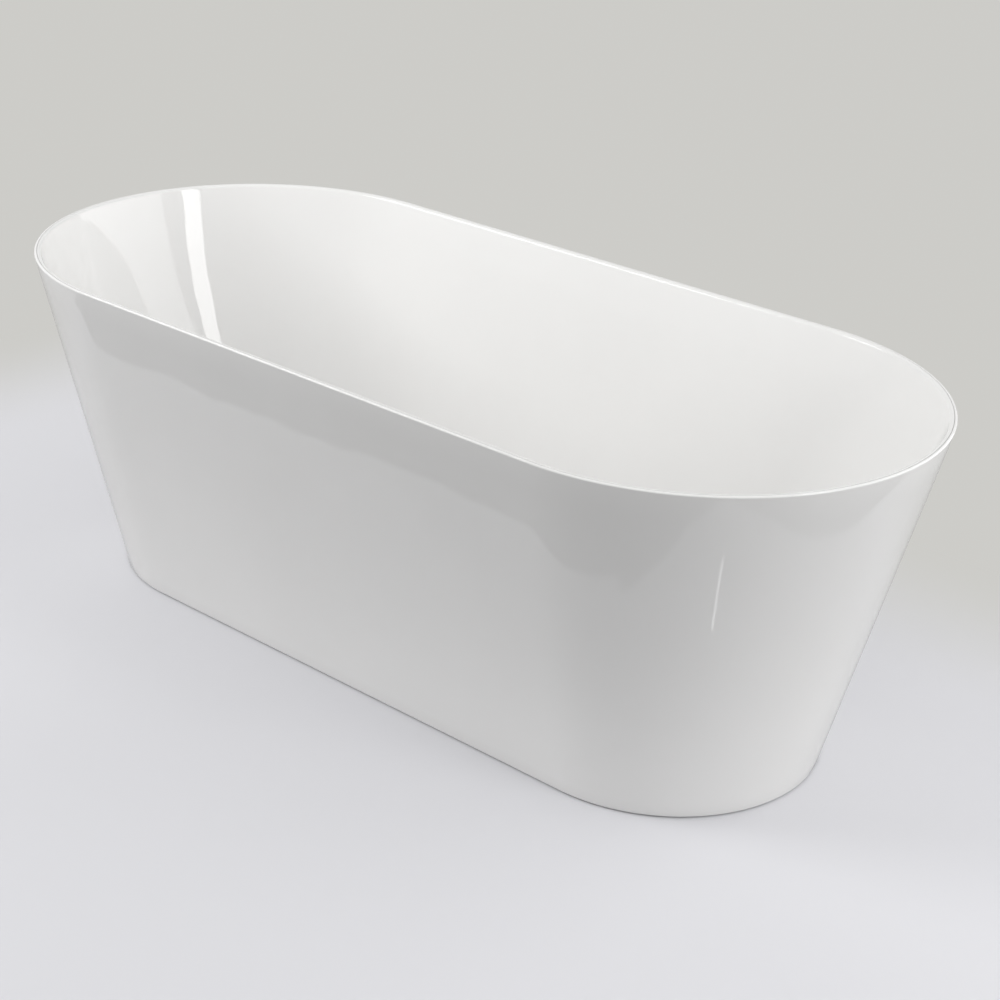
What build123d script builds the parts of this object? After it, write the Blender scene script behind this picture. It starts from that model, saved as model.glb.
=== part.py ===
from build123d import *
import os
from math import cos, pi, sin

# Freestanding double-ended bathtub in millimetres.
# +Z is up, +X runs along the tub, and the origin is on the floor under its middle.

# Overall outline: a stadium at the rim that tapers to a smaller one at the floor
RIM_LENGTH = 1700
RIM_WIDTH = 765
RIM_HEIGHT = 586
BASE_LENGTH = 1416
BASE_WIDTH = 503
FLOOR_GAP = 2.5

# The two acrylic skins and the seam between their top edges
SKIRT_WALL = 5.1
BASIN_WALL = 5.2
RIM_BAND = 11
OUTER_EDGE_RADIUS = 3.5
INNER_EDGE_RADIUS = 6
SEAM_DEPTH = 40
SEAM_RECESS = 0.3

# Inside of the basin: depth, and how far its walls come in from the rim
BASIN_DEPTH = 436
WALL_HANDLE = 250
END_SLOPE, END_HANDLE, END_INSET = 0.24, 190, 300
SIDE_SLOPE, SIDE_HANDLE, SIDE_INSET = 0.27, 95, 175
OUTER_HANDLE_SHARE = 0.7
BASIN_SECTIONS = 9

# Plywood board and steel cradle under the basin
BOARD_LENGTH = 980
BOARD_WIDTH = 350
BOARD_THICKNESS = 16
BOARD_WASTE_HOLE_RADIUS = 56
TUBE = 30
TUBE_WALL = 1.5
TUBE_CORNER = 3
RAIL_LENGTH = 1040
RAIL_Y = 140
CROSSBAR_LENGTH = 490
CROSSBAR_X = (-470, -180, 180, 470)
BOND_PAD_WIDTH = 40
SCREW_X = (-330, -80, 80, 330)
SCREW_RADIUS = 2.2
SCREW_BITE = 12
SCREW_HEAD_RADIUS = 4.5
SCREW_HEAD_HEIGHT = 3
SCREW_HEAD_TAPER = 12
CAP_PLATE = 2
CAP_PLUG = 12

# Levelling feet with a 12 mm stud
FOOT_X = 470
FOOT_Y = 190
STUD_RADIUS = 5.5
THREAD_CLEARANCE = 0.06
STUD_HOLE_CLEARANCE = 1
STUD_CHAMFER = 1
SOCKET_GAP = 0.3
NUT_FLATS = 19
WELD_NUT_HEIGHT = 10
LOCK_NUT_HEIGHT = 7
STUD_BOTTOM = 8
STUD_TOP = 82
STUD_HEX_FLATS = 17
STUD_HEX_BOTTOM = 18
STUD_HEX_HEIGHT = 8
PAD_RADIUS = 25
PAD_EDGE = 6
PAD_HUB_RADIUS = 13
PAD_HEIGHT = 14

# Waste in the middle of the basin floor
WASTE_RECESS_RADIUS = 42
WASTE_RECESS = 4
WASTE_BOSS_RADIUS = 50
FLANGE_RADIUS = 39
FLANGE_THICKNESS = 3
FLANGE_EDGE_RADIUS = 1.5
DISH_RADIUS = 34
DISH_DEPTH = 2.4
TAIL_RADIUS = 23.9
TAIL_BORE_RADIUS = 21
TAIL_BOTTOM = 84
TAIL_SLIP = 0.1
WASTE_HOLE_RADIUS = 25
FLANGE_SEAL = 1
FLANGE_SEAL_RADIUS = 38
WASHER_RADIUS = 36
WASHER_THICKNESS = 3
LOCKNUT_RADIUS = 35
LOCKNUT_HEIGHT = 12
LOCKNUT_SIDES = 8
SPIDER_TOP = 126
SPIDER_HEIGHT = 8
SPIDER_RIB = 3
SPIDER_RIBS = 3
HUB_RADIUS = 12

# Outlet pipe under the waste, 38.1 mm outside
PIPE_RADIUS = 19.05
PIPE_BORE_RADIUS = 17.5
PIPE_BOTTOM = 30
PIPE_COLLAR_RADIUS = 20.5
PIPE_COLLAR_BOTTOM = 74
PIPE_FLANGE_RADIUS = 23.5
PIPE_FLANGE_THICKNESS = 3
PIPE_WASHER = 2.5
PIPE_WASHER_BORE_RADIUS = 18.5
PIPE_NUT_RADIUS = 30
PIPE_NUT_TOP = 100
PIPE_NUT_LIP = 4
PIPE_NUT_SIDES = 10
LIP_SLIP = 0.2

# Push-to-open plug
CAP_RADIUS = 31
CAP_LIFT = 0.4
CAP_CROWN = 4.5
CAP_RIM = 1.8
CAP_BOSS_RADIUS = 6
CAP_BOSS_DROP = 4
PLUG_SEAL_OUTER = 28
PLUG_SEAL_INNER = 24
PLUG_SEAL_THICKNESS = 1.2
STEM_RADIUS = 4
STEM_CLEARANCE = 0.06
STEM_COLLAR_RADIUS = 5.6
STEM_COLLAR_BOTTOM = 109
STEM_COLLAR_HEIGHT = 3
CARTRIDGE_RADIUS = 8
CARTRIDGE_HEAD_RADIUS = 10
CARTRIDGE_HEAD_HEIGHT = 3
CARTRIDGE_BOTTOM = 98
CARTRIDGE_FLOOR = 2
CARTRIDGE_BORE_RADIUS = 6
CARTRIDGE_ROOF = 5
SPRING_RADIUS = 4.7
SPRING_WIRE_RADIUS = 0.45
SPRING_TURNS = 4
SPRING_ARCS_PER_TURN = 4
SPRING_END_GAP = 0.1

# Heights that follow from the sizes above
BASIN_FLOOR = RIM_HEIGHT - BASIN_DEPTH
BASIN_UNDERSIDE = BASIN_FLOOR - BASIN_WALL
BOARD_BOTTOM = BASIN_UNDERSIDE - BOARD_THICKNESS
RAIL_BOTTOM = BOARD_BOTTOM - TUBE
CROSSBAR_BOTTOM = RAIL_BOTTOM - TUBE
RECESS_FLOOR = BASIN_FLOOR - WASTE_RECESS
BOSS_BOTTOM = RECESS_FLOOR - BASIN_WALL
FLANGE_BOTTOM = RECESS_FLOOR + FLANGE_SEAL
FLANGE_TOP = FLANGE_BOTTOM + FLANGE_THICKNESS
CAP_BOTTOM = FLANGE_TOP + CAP_LIFT
FEET = [(x, y) for x in (-FOOT_X, FOOT_X) for y in (-FOOT_Y, FOOT_Y)]
SCREWS = [(x, y) for x in SCREW_X for y in (-RAIL_Y, RAIL_Y)]

os.makedirs("parts", exist_ok=True)


def finish(block, name):
    """Name a finished piece and write its file."""
    block.part.label = name
    export_step(block.part, f"parts/{name}.step")
    print(f"{name}: {len(block.part.solids())} solid(s), {block.part.volume / 1000:.1f} cm3")


def between(low, high, share):
    """The value a share of the way from low to high."""
    return low + (high - low) * share


def skirt_outline(z, inset):
    """Length and width of the skirt's stadium at height z, drawn in by an inset all round."""
    share = z / RIM_HEIGHT
    length = between(BASE_LENGTH, RIM_LENGTH, share)
    width = between(BASE_WIDTH, RIM_WIDTH, share)
    return length - 2 * inset, width - 2 * inset


def bezier(t, p0, p1, p2, p3):
    """One coordinate of a cubic Bezier curve."""
    s = 1 - t
    return s**3 * p0 + 3 * s**2 * t * p1 + 3 * s * t**2 * p2 + t**3 * p3


def basin_section(t, wall):
    """Height, length and width of the basin's stadium at t, from the rim (0) to the floor (1).

    The wall profile is a cubic that leaves the rim at a slope and runs level into the floor.
    A wall of 0 gives the inside, and the skin's thickness gives the outside.
    """
    floor = BASIN_DEPTH + wall
    depth = bezier(t, 0, WALL_HANDLE, floor, floor)
    trim = OUTER_HANDLE_SHARE * wall
    end = bezier(t, -wall, END_SLOPE * WALL_HANDLE - wall, END_HANDLE - trim, END_INSET)
    side = bezier(t, -wall, SIDE_SLOPE * WALL_HANDLE - wall, SIDE_HANDLE - trim, SIDE_INSET)
    length = RIM_LENGTH - 2 * (RIM_BAND + end)
    width = RIM_WIDTH - 2 * (RIM_BAND + side)
    return RIM_HEIGHT - depth, length, width


def ring(outer, inner, bottom, height):
    """Draw a flat ring with its lower face at a height, inside the current part."""
    with BuildSketch(Plane.XY.offset(bottom)) as outline:
        Circle(outer)
        if inner:
            Circle(inner, mode=Mode.SUBTRACT)
    extrude(outline.sketch, amount=height)


# Skirt: a tapered shell whose top edge is the outer half of the rim
def skirt_frustum(inset, bottom, top):
    """Loft the skirt's taper, drawn in by an inset, inside the current part."""
    sections = []
    for z in (bottom, top):
        with BuildSketch(Plane.XY.offset(z)) as stadium:
            SlotOverall(*skirt_outline(z, inset))
        sections.append(stadium.sketch)
    loft(sections, ruled=True)


with BuildPart() as skirt_hollow:
    skirt_frustum(SKIRT_WALL, FLOOR_GAP, RIM_HEIGHT)

with BuildPart() as skirt_core:
    skirt_frustum(SKIRT_WALL / 2, FLOOR_GAP, RIM_HEIGHT - SEAM_RECESS)

with BuildPart() as skirt:
    skirt_frustum(0, FLOOR_GAP, RIM_HEIGHT)
    add(skirt_hollow.part, mode=Mode.SUBTRACT)
    top_face = skirt.faces().sort_by(Axis.Z)[-1]
    fillet(top_face.outer_wire().edges(), radius=OUTER_EDGE_RADIUS)
finish(skirt, "skirt")


# Basin: the inside and outside are lofts through the same family of stadiums
def basin_loft(wall):
    """Loft the basin's inside or outside from the floor to the rim, inside the current part."""
    sections = []
    for i in range(BASIN_SECTIONS):
        z, length, width = basin_section(1 - i / (BASIN_SECTIONS - 1), wall)
        with BuildSketch(Plane.XY.offset(z)) as stadium:
            SlotOverall(length, width)
        sections.append(stadium.sketch)
    loft(sections)


with BuildPart() as basin_inside:
    basin_loft(0)

with BuildPart() as basin_outside:
    basin_loft(BASIN_WALL)

with BuildPart() as basin:
    add(basin_outside.part)
    with BuildSketch(Plane.XY.offset(BOSS_BOTTOM)):
        Circle(WASTE_BOSS_RADIUS)
    extrude(amount=BASIN_FLOOR - BOSS_BOTTOM)
    add(basin_inside.part, mode=Mode.SUBTRACT)
    with BuildSketch(Plane.XY.offset(RECESS_FLOOR)):
        Circle(WASTE_RECESS_RADIUS)
    extrude(amount=WASTE_RECESS, mode=Mode.SUBTRACT)
    with BuildSketch(Plane.XY.offset(BOSS_BOTTOM)):
        Circle(WASTE_HOLE_RADIUS)
    extrude(amount=WASTE_BOSS_RADIUS, mode=Mode.SUBTRACT)
    rim_face = basin.faces().sort_by(Axis.Z)[-1]
    fillet(rim_face.inner_wires()[0].edges(), radius=INNER_EDGE_RADIUS)
finish(basin, "basin")


# Rim joint: the adhesive that fills the wedge between the two skins
with BuildPart() as rim_joint_filler:
    skirt_frustum(SKIRT_WALL / 2, RIM_HEIGHT - SEAM_DEPTH, RIM_HEIGHT - SEAM_RECESS)
    add(skirt.part, mode=Mode.SUBTRACT)
    add(basin_outside.part, mode=Mode.SUBTRACT)
finish(rim_joint_filler, "rim_joint_filler")


# Base board: plywood under the basin floor, with a hole round the waste
with BuildPart() as base_board:
    with BuildSketch(Plane.XY.offset(BOARD_BOTTOM)):
        SlotOverall(BOARD_LENGTH, BOARD_WIDTH)
        Circle(BOARD_WASTE_HOLE_RADIUS, mode=Mode.SUBTRACT)
    extrude(amount=BOARD_THICKNESS)
    with BuildSketch(Plane.XY.offset(BOARD_BOTTOM)):
        with Locations(*SCREWS):
            Circle(SCREW_RADIUS)
    extrude(amount=SCREW_BITE, mode=Mode.SUBTRACT)
finish(base_board, "base_board")


# Cradle: square steel tubes, two rails over four crossbars
def square_tube(plane, length):
    """Draw a square tube centred on a plane, along its normal, inside the current part."""
    with BuildSketch(plane) as outline:
        RectangleRounded(TUBE, TUBE, TUBE_CORNER)
        inner = TUBE - 2 * TUBE_WALL
        RectangleRounded(inner, inner, TUBE_CORNER - TUBE_WALL, mode=Mode.SUBTRACT)
    extrude(outline.sketch, amount=length / 2, both=True)


for side, y in (("front", -RAIL_Y), ("back", RAIL_Y)):
    with BuildPart() as frame_rail:
        square_tube(Plane((0, y, RAIL_BOTTOM + TUBE / 2), z_dir=(1, 0, 0)), RAIL_LENGTH)
        with BuildSketch(Plane.XY.offset(RAIL_BOTTOM)):
            with Locations(*[(x, y) for x in SCREW_X]):
                Circle(SCREW_RADIUS + 2 * THREAD_CLEARANCE)
        extrude(amount=TUBE, mode=Mode.SUBTRACT)
    finish(frame_rail, f"frame_rail_{side}")

for number, x in enumerate(CROSSBAR_X, start=1):
    with BuildPart() as frame_crossbar:
        square_tube(Plane((x, 0, CROSSBAR_BOTTOM + TUBE / 2), z_dir=(0, 1, 0)), CROSSBAR_LENGTH)
        if abs(x) == FOOT_X:
            with BuildSketch(Plane.XY.offset(CROSSBAR_BOTTOM)):
                with Locations((x, -FOOT_Y), (x, FOOT_Y)):
                    Circle(STUD_RADIUS + STUD_HOLE_CLEARANCE)
            extrude(amount=TUBE / 2, mode=Mode.SUBTRACT)
    finish(frame_crossbar, f"frame_crossbar_{number}")

with BuildPart() as rail_end_caps:
    plug = TUBE - 2 * TUBE_WALL
    for y in (-RAIL_Y, RAIL_Y):
        for end in (-1, 1):
            mouth = Plane((end * RAIL_LENGTH / 2, y, RAIL_BOTTOM + TUBE / 2), z_dir=(end, 0, 0))
            with BuildSketch(mouth):
                RectangleRounded(TUBE, TUBE, TUBE_CORNER)
            extrude(amount=CAP_PLATE)
            with BuildSketch(mouth):
                RectangleRounded(plug, plug, TUBE_CORNER - TUBE_WALL)
            extrude(amount=-CAP_PLUG)
finish(rail_end_caps, "rail_end_caps")

with BuildPart() as frame_screws:
    with BuildSketch(Plane.XY.offset(RAIL_BOTTOM)):
        with Locations(*SCREWS):
            Circle(SCREW_RADIUS)
    extrude(amount=TUBE + SCREW_BITE)
    with BuildSketch(Plane.XY.offset(RAIL_BOTTOM)):
        with Locations(*SCREWS):
            Circle(SCREW_HEAD_RADIUS)
    extrude(amount=-SCREW_HEAD_HEIGHT, taper=SCREW_HEAD_TAPER)
finish(frame_screws, "frame_screws")

with BuildPart() as skirt_bond_pads:
    for x in CROSSBAR_X:
        for side in (-1, 1):
            middle = (x, side * CROSSBAR_LENGTH / 2, CROSSBAR_BOTTOM + TUBE / 2)
            with BuildSketch(Plane(middle, x_dir=(1, 0, 0), z_dir=(0, side, 0))):
                Rectangle(BOND_PAD_WIDTH, TUBE)
            extrude(amount=TUBE)
    add(skirt_core.part, mode=Mode.INTERSECT)
    add(skirt.part, mode=Mode.SUBTRACT)
finish(skirt_bond_pads, "skirt_bond_pads")


# Levelling feet: a stud screws through a nut welded under the crossbar
def foot_nuts(bottom, height):
    """Draw the four hexagon nuts of one kind, inside the current part."""
    with BuildSketch(Plane.XY.offset(bottom)) as outline:
        with Locations(*FEET):
            RegularPolygon(NUT_FLATS / 2, 6, major_radius=False)
            Circle(STUD_RADIUS + THREAD_CLEARANCE, mode=Mode.SUBTRACT)
    extrude(outline.sketch, amount=height)


WELD_NUT_BOTTOM = CROSSBAR_BOTTOM - WELD_NUT_HEIGHT
with BuildPart() as foot_weld_nuts:
    foot_nuts(WELD_NUT_BOTTOM, WELD_NUT_HEIGHT)
finish(foot_weld_nuts, "foot_weld_nuts")

with BuildPart() as foot_lock_nuts:
    foot_nuts(WELD_NUT_BOTTOM - LOCK_NUT_HEIGHT, LOCK_NUT_HEIGHT)
finish(foot_lock_nuts, "foot_lock_nuts")

for number, spot in enumerate(FEET, start=1):
    with BuildPart() as foot_stud:
        with BuildSketch(Plane.XY.offset(STUD_BOTTOM)):
            with Locations(spot):
                Circle(STUD_RADIUS)
        extrude(amount=STUD_TOP - STUD_BOTTOM)
        chamfer(foot_stud.faces().sort_by(Axis.Z)[-1].edges(), length=STUD_CHAMFER)
        with BuildSketch(Plane.XY.offset(STUD_HEX_BOTTOM)):
            with Locations(spot):
                RegularPolygon(STUD_HEX_FLATS / 2, 6, major_radius=False)
        extrude(amount=STUD_HEX_HEIGHT)
    finish(foot_stud, f"foot_stud_{number}")

    with BuildPart() as foot_pad:
        with BuildSketch(Plane((*spot, 0), x_dir=(1, 0, 0), z_dir=(0, -1, 0))):
            with BuildLine():
                Polyline(
                    (0, 0),
                    (PAD_RADIUS, 0),
                    (PAD_RADIUS, PAD_EDGE),
                    (PAD_HUB_RADIUS, PAD_HEIGHT),
                    (0, PAD_HEIGHT),
                    close=True,
                )
            make_face()
        revolve(axis=Axis((*spot, 0), (0, 0, 1)))
        with BuildSketch(Plane.XY.offset(STUD_BOTTOM - SOCKET_GAP)):
            with Locations(spot):
                Circle(STUD_RADIUS + THREAD_CLEARANCE)
        extrude(amount=PAD_HEIGHT, mode=Mode.SUBTRACT)
    finish(foot_pad, f"foot_pad_{number}")


# Waste: chrome flange in the floor recess, with a threaded tail and a spider for the latch
rib_start = HUB_RADIUS - SPIDER_RIB
rib_end = between(TAIL_BORE_RADIUS, TAIL_RADIUS, 0.5)
with BuildPart() as waste_body:
    ring(FLANGE_RADIUS, TAIL_BORE_RADIUS, FLANGE_BOTTOM, FLANGE_THICKNESS)
    ring(TAIL_RADIUS, TAIL_BORE_RADIUS, TAIL_BOTTOM, FLANGE_BOTTOM - TAIL_BOTTOM)
    with BuildSketch(Plane.XZ):
        with BuildLine():
            Polyline(
                (0, FLANGE_TOP),
                (DISH_RADIUS, FLANGE_TOP),
                (TAIL_BORE_RADIUS, FLANGE_TOP - DISH_DEPTH),
                (0, FLANGE_TOP - DISH_DEPTH),
                close=True,
            )
        make_face()
    revolve(axis=Axis.Z, mode=Mode.SUBTRACT)
    with BuildSketch(Plane.XY.offset(SPIDER_TOP - SPIDER_HEIGHT)):
        with PolarLocations(0, SPIDER_RIBS):
            with Locations((between(rib_start, rib_end, 0.5), 0)):
                Rectangle(rib_end - rib_start, SPIDER_RIB)
        Circle(HUB_RADIUS)
        Circle(CARTRIDGE_RADIUS, mode=Mode.SUBTRACT)
    extrude(amount=SPIDER_HEIGHT)
    rim_edges = waste_body.edges().filter_by(GeomType.CIRCLE).group_by(Axis.Z)[-1]
    fillet(rim_edges.sort_by(SortBy.RADIUS)[-1], radius=FLANGE_EDGE_RADIUS)
finish(waste_body, "waste_body")

with BuildPart() as waste_flange_seal:
    ring(FLANGE_SEAL_RADIUS, TAIL_RADIUS + TAIL_SLIP, RECESS_FLOOR, FLANGE_SEAL)
finish(waste_flange_seal, "waste_flange_seal")

WASHER_BOTTOM = BOSS_BOTTOM - WASHER_THICKNESS
with BuildPart() as waste_washer:
    ring(WASHER_RADIUS, TAIL_RADIUS + TAIL_SLIP, WASHER_BOTTOM, WASHER_THICKNESS)
finish(waste_washer, "waste_washer")

with BuildPart() as waste_locknut:
    with BuildSketch(Plane.XY.offset(WASHER_BOTTOM - LOCKNUT_HEIGHT)):
        RegularPolygon(LOCKNUT_RADIUS, LOCKNUT_SIDES)
        Circle(TAIL_RADIUS + THREAD_CLEARANCE, mode=Mode.SUBTRACT)
    extrude(amount=LOCKNUT_HEIGHT)
finish(waste_locknut, "waste_locknut")

WASHER_UNDER_TAIL = TAIL_BOTTOM - PIPE_WASHER
PIPE_FLANGE_BOTTOM = WASHER_UNDER_TAIL - PIPE_FLANGE_THICKNESS
with BuildPart() as tailpiece:
    ring(PIPE_RADIUS, PIPE_BORE_RADIUS, PIPE_BOTTOM, PIPE_COLLAR_BOTTOM - PIPE_BOTTOM)
    collar_height = PIPE_FLANGE_BOTTOM - PIPE_COLLAR_BOTTOM
    ring(PIPE_COLLAR_RADIUS, PIPE_BORE_RADIUS, PIPE_COLLAR_BOTTOM, collar_height)
    ring(PIPE_FLANGE_RADIUS, PIPE_BORE_RADIUS, PIPE_FLANGE_BOTTOM, PIPE_FLANGE_THICKNESS)
finish(tailpiece, "tailpiece")

with BuildPart() as tailpiece_washer:
    ring(PIPE_FLANGE_RADIUS, PIPE_WASHER_BORE_RADIUS, WASHER_UNDER_TAIL, PIPE_WASHER)
finish(tailpiece_washer, "tailpiece_washer")

PIPE_NUT_BOTTOM = PIPE_FLANGE_BOTTOM - PIPE_NUT_LIP
with BuildPart() as tailpiece_nut:
    with BuildSketch(Plane.XY.offset(PIPE_NUT_BOTTOM)):
        RegularPolygon(PIPE_NUT_RADIUS, PIPE_NUT_SIDES)
    extrude(amount=PIPE_NUT_TOP - PIPE_NUT_BOTTOM)
    with BuildSketch(Plane.XY.offset(PIPE_FLANGE_BOTTOM)):
        Circle(TAIL_RADIUS + THREAD_CLEARANCE)
    extrude(amount=PIPE_NUT_TOP - PIPE_FLANGE_BOTTOM, mode=Mode.SUBTRACT)
    with BuildSketch(Plane.XY.offset(PIPE_NUT_BOTTOM)):
        Circle(PIPE_COLLAR_RADIUS + LIP_SLIP)
    extrude(amount=PIPE_NUT_LIP, mode=Mode.SUBTRACT)
finish(tailpiece_nut, "tailpiece_nut")


# Plug: a crowned cap on a stem that slides in the latch cartridge
with BuildPart() as plug_cap:
    with BuildSketch(Plane.XZ):
        with BuildLine():
            rim_top = CAP_BOTTOM + CAP_RIM
            Line((0, CAP_BOTTOM), (CAP_RADIUS, CAP_BOTTOM))
            Line((CAP_RADIUS, CAP_BOTTOM), (CAP_RADIUS, rim_top))
            crown_rise = CAP_CROWN - CAP_RIM
            crown_radius = (CAP_RADIUS**2 + crown_rise**2) / (2 * crown_rise)
            RadiusArc((CAP_RADIUS, rim_top), (0, CAP_BOTTOM + CAP_CROWN), -crown_radius)
            Line((0, CAP_BOTTOM + CAP_CROWN), (0, CAP_BOTTOM))
        make_face()
    revolve(axis=Axis.Z)
    ring(CAP_BOSS_RADIUS, STEM_RADIUS, CAP_BOTTOM - CAP_BOSS_DROP, CAP_BOSS_DROP)
finish(plug_cap, "plug_cap")

with BuildPart() as plug_seal:
    ring(PLUG_SEAL_OUTER, PLUG_SEAL_INNER, CAP_BOTTOM - PLUG_SEAL_THICKNESS, PLUG_SEAL_THICKNESS)
finish(plug_seal, "plug_seal")

STEM_COLLAR_TOP = STEM_COLLAR_BOTTOM + STEM_COLLAR_HEIGHT
with BuildPart() as plug_stem:
    ring(STEM_COLLAR_RADIUS, 0, STEM_COLLAR_BOTTOM, STEM_COLLAR_HEIGHT)
    ring(STEM_RADIUS, 0, STEM_COLLAR_TOP, CAP_BOTTOM - STEM_COLLAR_TOP)
finish(plug_stem, "plug_stem")

CAVITY_BOTTOM = CARTRIDGE_BOTTOM + CARTRIDGE_FLOOR
CARTRIDGE_TOP = SPIDER_TOP + CARTRIDGE_HEAD_HEIGHT
with BuildPart() as plug_cartridge:
    ring(CARTRIDGE_RADIUS, 0, CARTRIDGE_BOTTOM, SPIDER_TOP - CARTRIDGE_BOTTOM)
    ring(CARTRIDGE_HEAD_RADIUS, 0, SPIDER_TOP, CARTRIDGE_HEAD_HEIGHT)
    with BuildSketch(Plane.XY.offset(CAVITY_BOTTOM)):
        Circle(CARTRIDGE_BORE_RADIUS)
    extrude(amount=CARTRIDGE_TOP - CARTRIDGE_ROOF - CAVITY_BOTTOM, mode=Mode.SUBTRACT)
    with BuildSketch(Plane.XY.offset(CARTRIDGE_TOP)):
        Circle(STEM_RADIUS + STEM_CLEARANCE)
    extrude(amount=-CARTRIDGE_ROOF, mode=Mode.SUBTRACT)
finish(plug_cartridge, "plug_cartridge")

# Latch spring: a helix of short arcs between the cartridge's floor and the stem's collar
spring_low = CAVITY_BOTTOM + SPRING_WIRE_RADIUS + SPRING_END_GAP
spring_high = STEM_COLLAR_BOTTOM - SPRING_WIRE_RADIUS - SPRING_END_GAP


def spring_point(turns):
    """The point on the spring's centre line after a number of turns."""
    angle = 2 * pi * turns
    z = between(spring_low, spring_high, turns / SPRING_TURNS)
    return SPRING_RADIUS * cos(angle), SPRING_RADIUS * sin(angle), z


with BuildPart() as plug_spring:
    with BuildLine() as coil:
        arcs = SPRING_TURNS * SPRING_ARCS_PER_TURN
        for i in range(arcs):
            ThreePointArc(*[spring_point((i + k / 2) / SPRING_ARCS_PER_TURN) for k in range(3)])
    with BuildSketch(Plane(coil.line @ 0, z_dir=coil.line % 0)):
        Circle(SPRING_WIRE_RADIUS)
    sweep()
finish(plug_spring, "plug_spring")
spring_gap = (spring_high - spring_low) / SPRING_TURNS - 2 * SPRING_WIRE_RADIUS
print(f"spring: least gap between turns {spring_gap:.2f} mm")
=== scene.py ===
# %% [markdown]
# # A freestanding bathtub
# The tub is two thin white acrylic skins, an inner basin and a tapered skirt, bonded along one
# slim rim. Under the basin hides a steel cradle on four screw feet, with a pop-up waste in the
# middle. The imported parts give the sizes and the moving bodies. Here most surfaces that can be
# seen are drawn again as smooth sheets of points, the plain straight parts keep their imported
# shape, and every piece is given its finish.

import math

import bmesh
import bpy
import numpy as np
from mathutils import Matrix, Vector


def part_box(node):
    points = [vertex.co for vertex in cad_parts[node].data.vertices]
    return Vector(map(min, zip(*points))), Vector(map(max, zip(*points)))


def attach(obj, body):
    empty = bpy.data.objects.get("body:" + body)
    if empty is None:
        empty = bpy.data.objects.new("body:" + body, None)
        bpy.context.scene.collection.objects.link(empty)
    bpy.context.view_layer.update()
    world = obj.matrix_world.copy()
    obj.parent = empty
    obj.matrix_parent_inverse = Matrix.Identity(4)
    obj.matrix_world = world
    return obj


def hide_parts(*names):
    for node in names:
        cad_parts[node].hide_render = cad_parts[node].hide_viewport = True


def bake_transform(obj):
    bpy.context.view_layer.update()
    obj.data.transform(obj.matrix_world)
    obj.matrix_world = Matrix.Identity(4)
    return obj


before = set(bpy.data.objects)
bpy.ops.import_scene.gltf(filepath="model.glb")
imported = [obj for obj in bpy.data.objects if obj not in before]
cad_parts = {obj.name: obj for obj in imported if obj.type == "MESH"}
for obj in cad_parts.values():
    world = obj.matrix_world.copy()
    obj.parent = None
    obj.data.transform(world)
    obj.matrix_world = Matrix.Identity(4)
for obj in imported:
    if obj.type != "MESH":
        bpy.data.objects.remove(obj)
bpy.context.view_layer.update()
MM = 0.001


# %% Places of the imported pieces
def middle_of(node):
    """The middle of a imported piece, seen from above."""
    low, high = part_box(node)
    return (low.x + high.x) / 2, (low.y + high.y) / 2


def levels_of(node):
    """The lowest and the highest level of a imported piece."""
    low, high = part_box(node)
    return low.z, high.z


# %% [markdown]
# ## Camera
# A camera can be aimed with a constraint, but its roll is easier to read when the three axes of
# the view are written out. The camera stands past the near right end, looks down by about 25
# degrees with a long lens, and leans over by a little more than 2 degrees.

# %% Camera
CAMERA_TARGET = Vector((0.0676, 0.0424, 0.2609))
CAMERA_AZIMUTH = math.radians(40.2007)
CAMERA_ELEVATION = math.radians(24.5784)
CAMERA_ROLL = math.radians(2.345)
CAMERA_DISTANCE = 3.4171
CAMERA_LENS_MM = 73.95

camera = bpy.data.objects.new("photo_camera", bpy.data.cameras.new("photo_camera"))
bpy.context.scene.collection.objects.link(camera)
bpy.context.scene.camera = camera
camera.data.lens = CAMERA_LENS_MM

level = math.cos(CAMERA_ELEVATION)
back = Vector((
    math.sin(CAMERA_AZIMUTH) * level,
    -math.cos(CAMERA_AZIMUTH) * level,
    math.sin(CAMERA_ELEVATION),
))
side = Vector((0, 0, 1)).cross(back).normalized()
axes = Matrix((side, back.cross(side), back)).transposed() @ Matrix.Rotation(CAMERA_ROLL, 3, "Z")
camera.matrix_world = Matrix.Translation(CAMERA_TARGET + CAMERA_DISTANCE * back) @ axes.to_4x4()
print("camera at", [round(c, 3) for c in camera.matrix_world.translation])

# %% [markdown]
# ## Building blocks for surfaces
# Each piece is a grid of points: one direction goes round the tub or round an axis, the other
# follows a profile. numpy works out all the points at once, and one function turns any number
# of grids into a mesh. Rows that shrink to a point are merged there, so every shell is closed.

# %% Grids to meshes
SHARP_ANGLE = math.radians(38)
MERGE_DISTANCE = 1e-7


def grid_faces(rows, columns, loop):
    """Quads of a grid whose columns run round; a loop also joins the last row to the first."""
    index = np.arange(rows * columns).reshape(rows, columns)
    if loop:
        index = np.vstack([index, index[:1]])
    index = np.hstack([index, index[:, :1]])
    corners = (index[:-1, :-1], index[:-1, 1:], index[1:, 1:], index[1:, :-1])
    return np.stack(corners, axis=-1).reshape(-1, 4)


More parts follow.
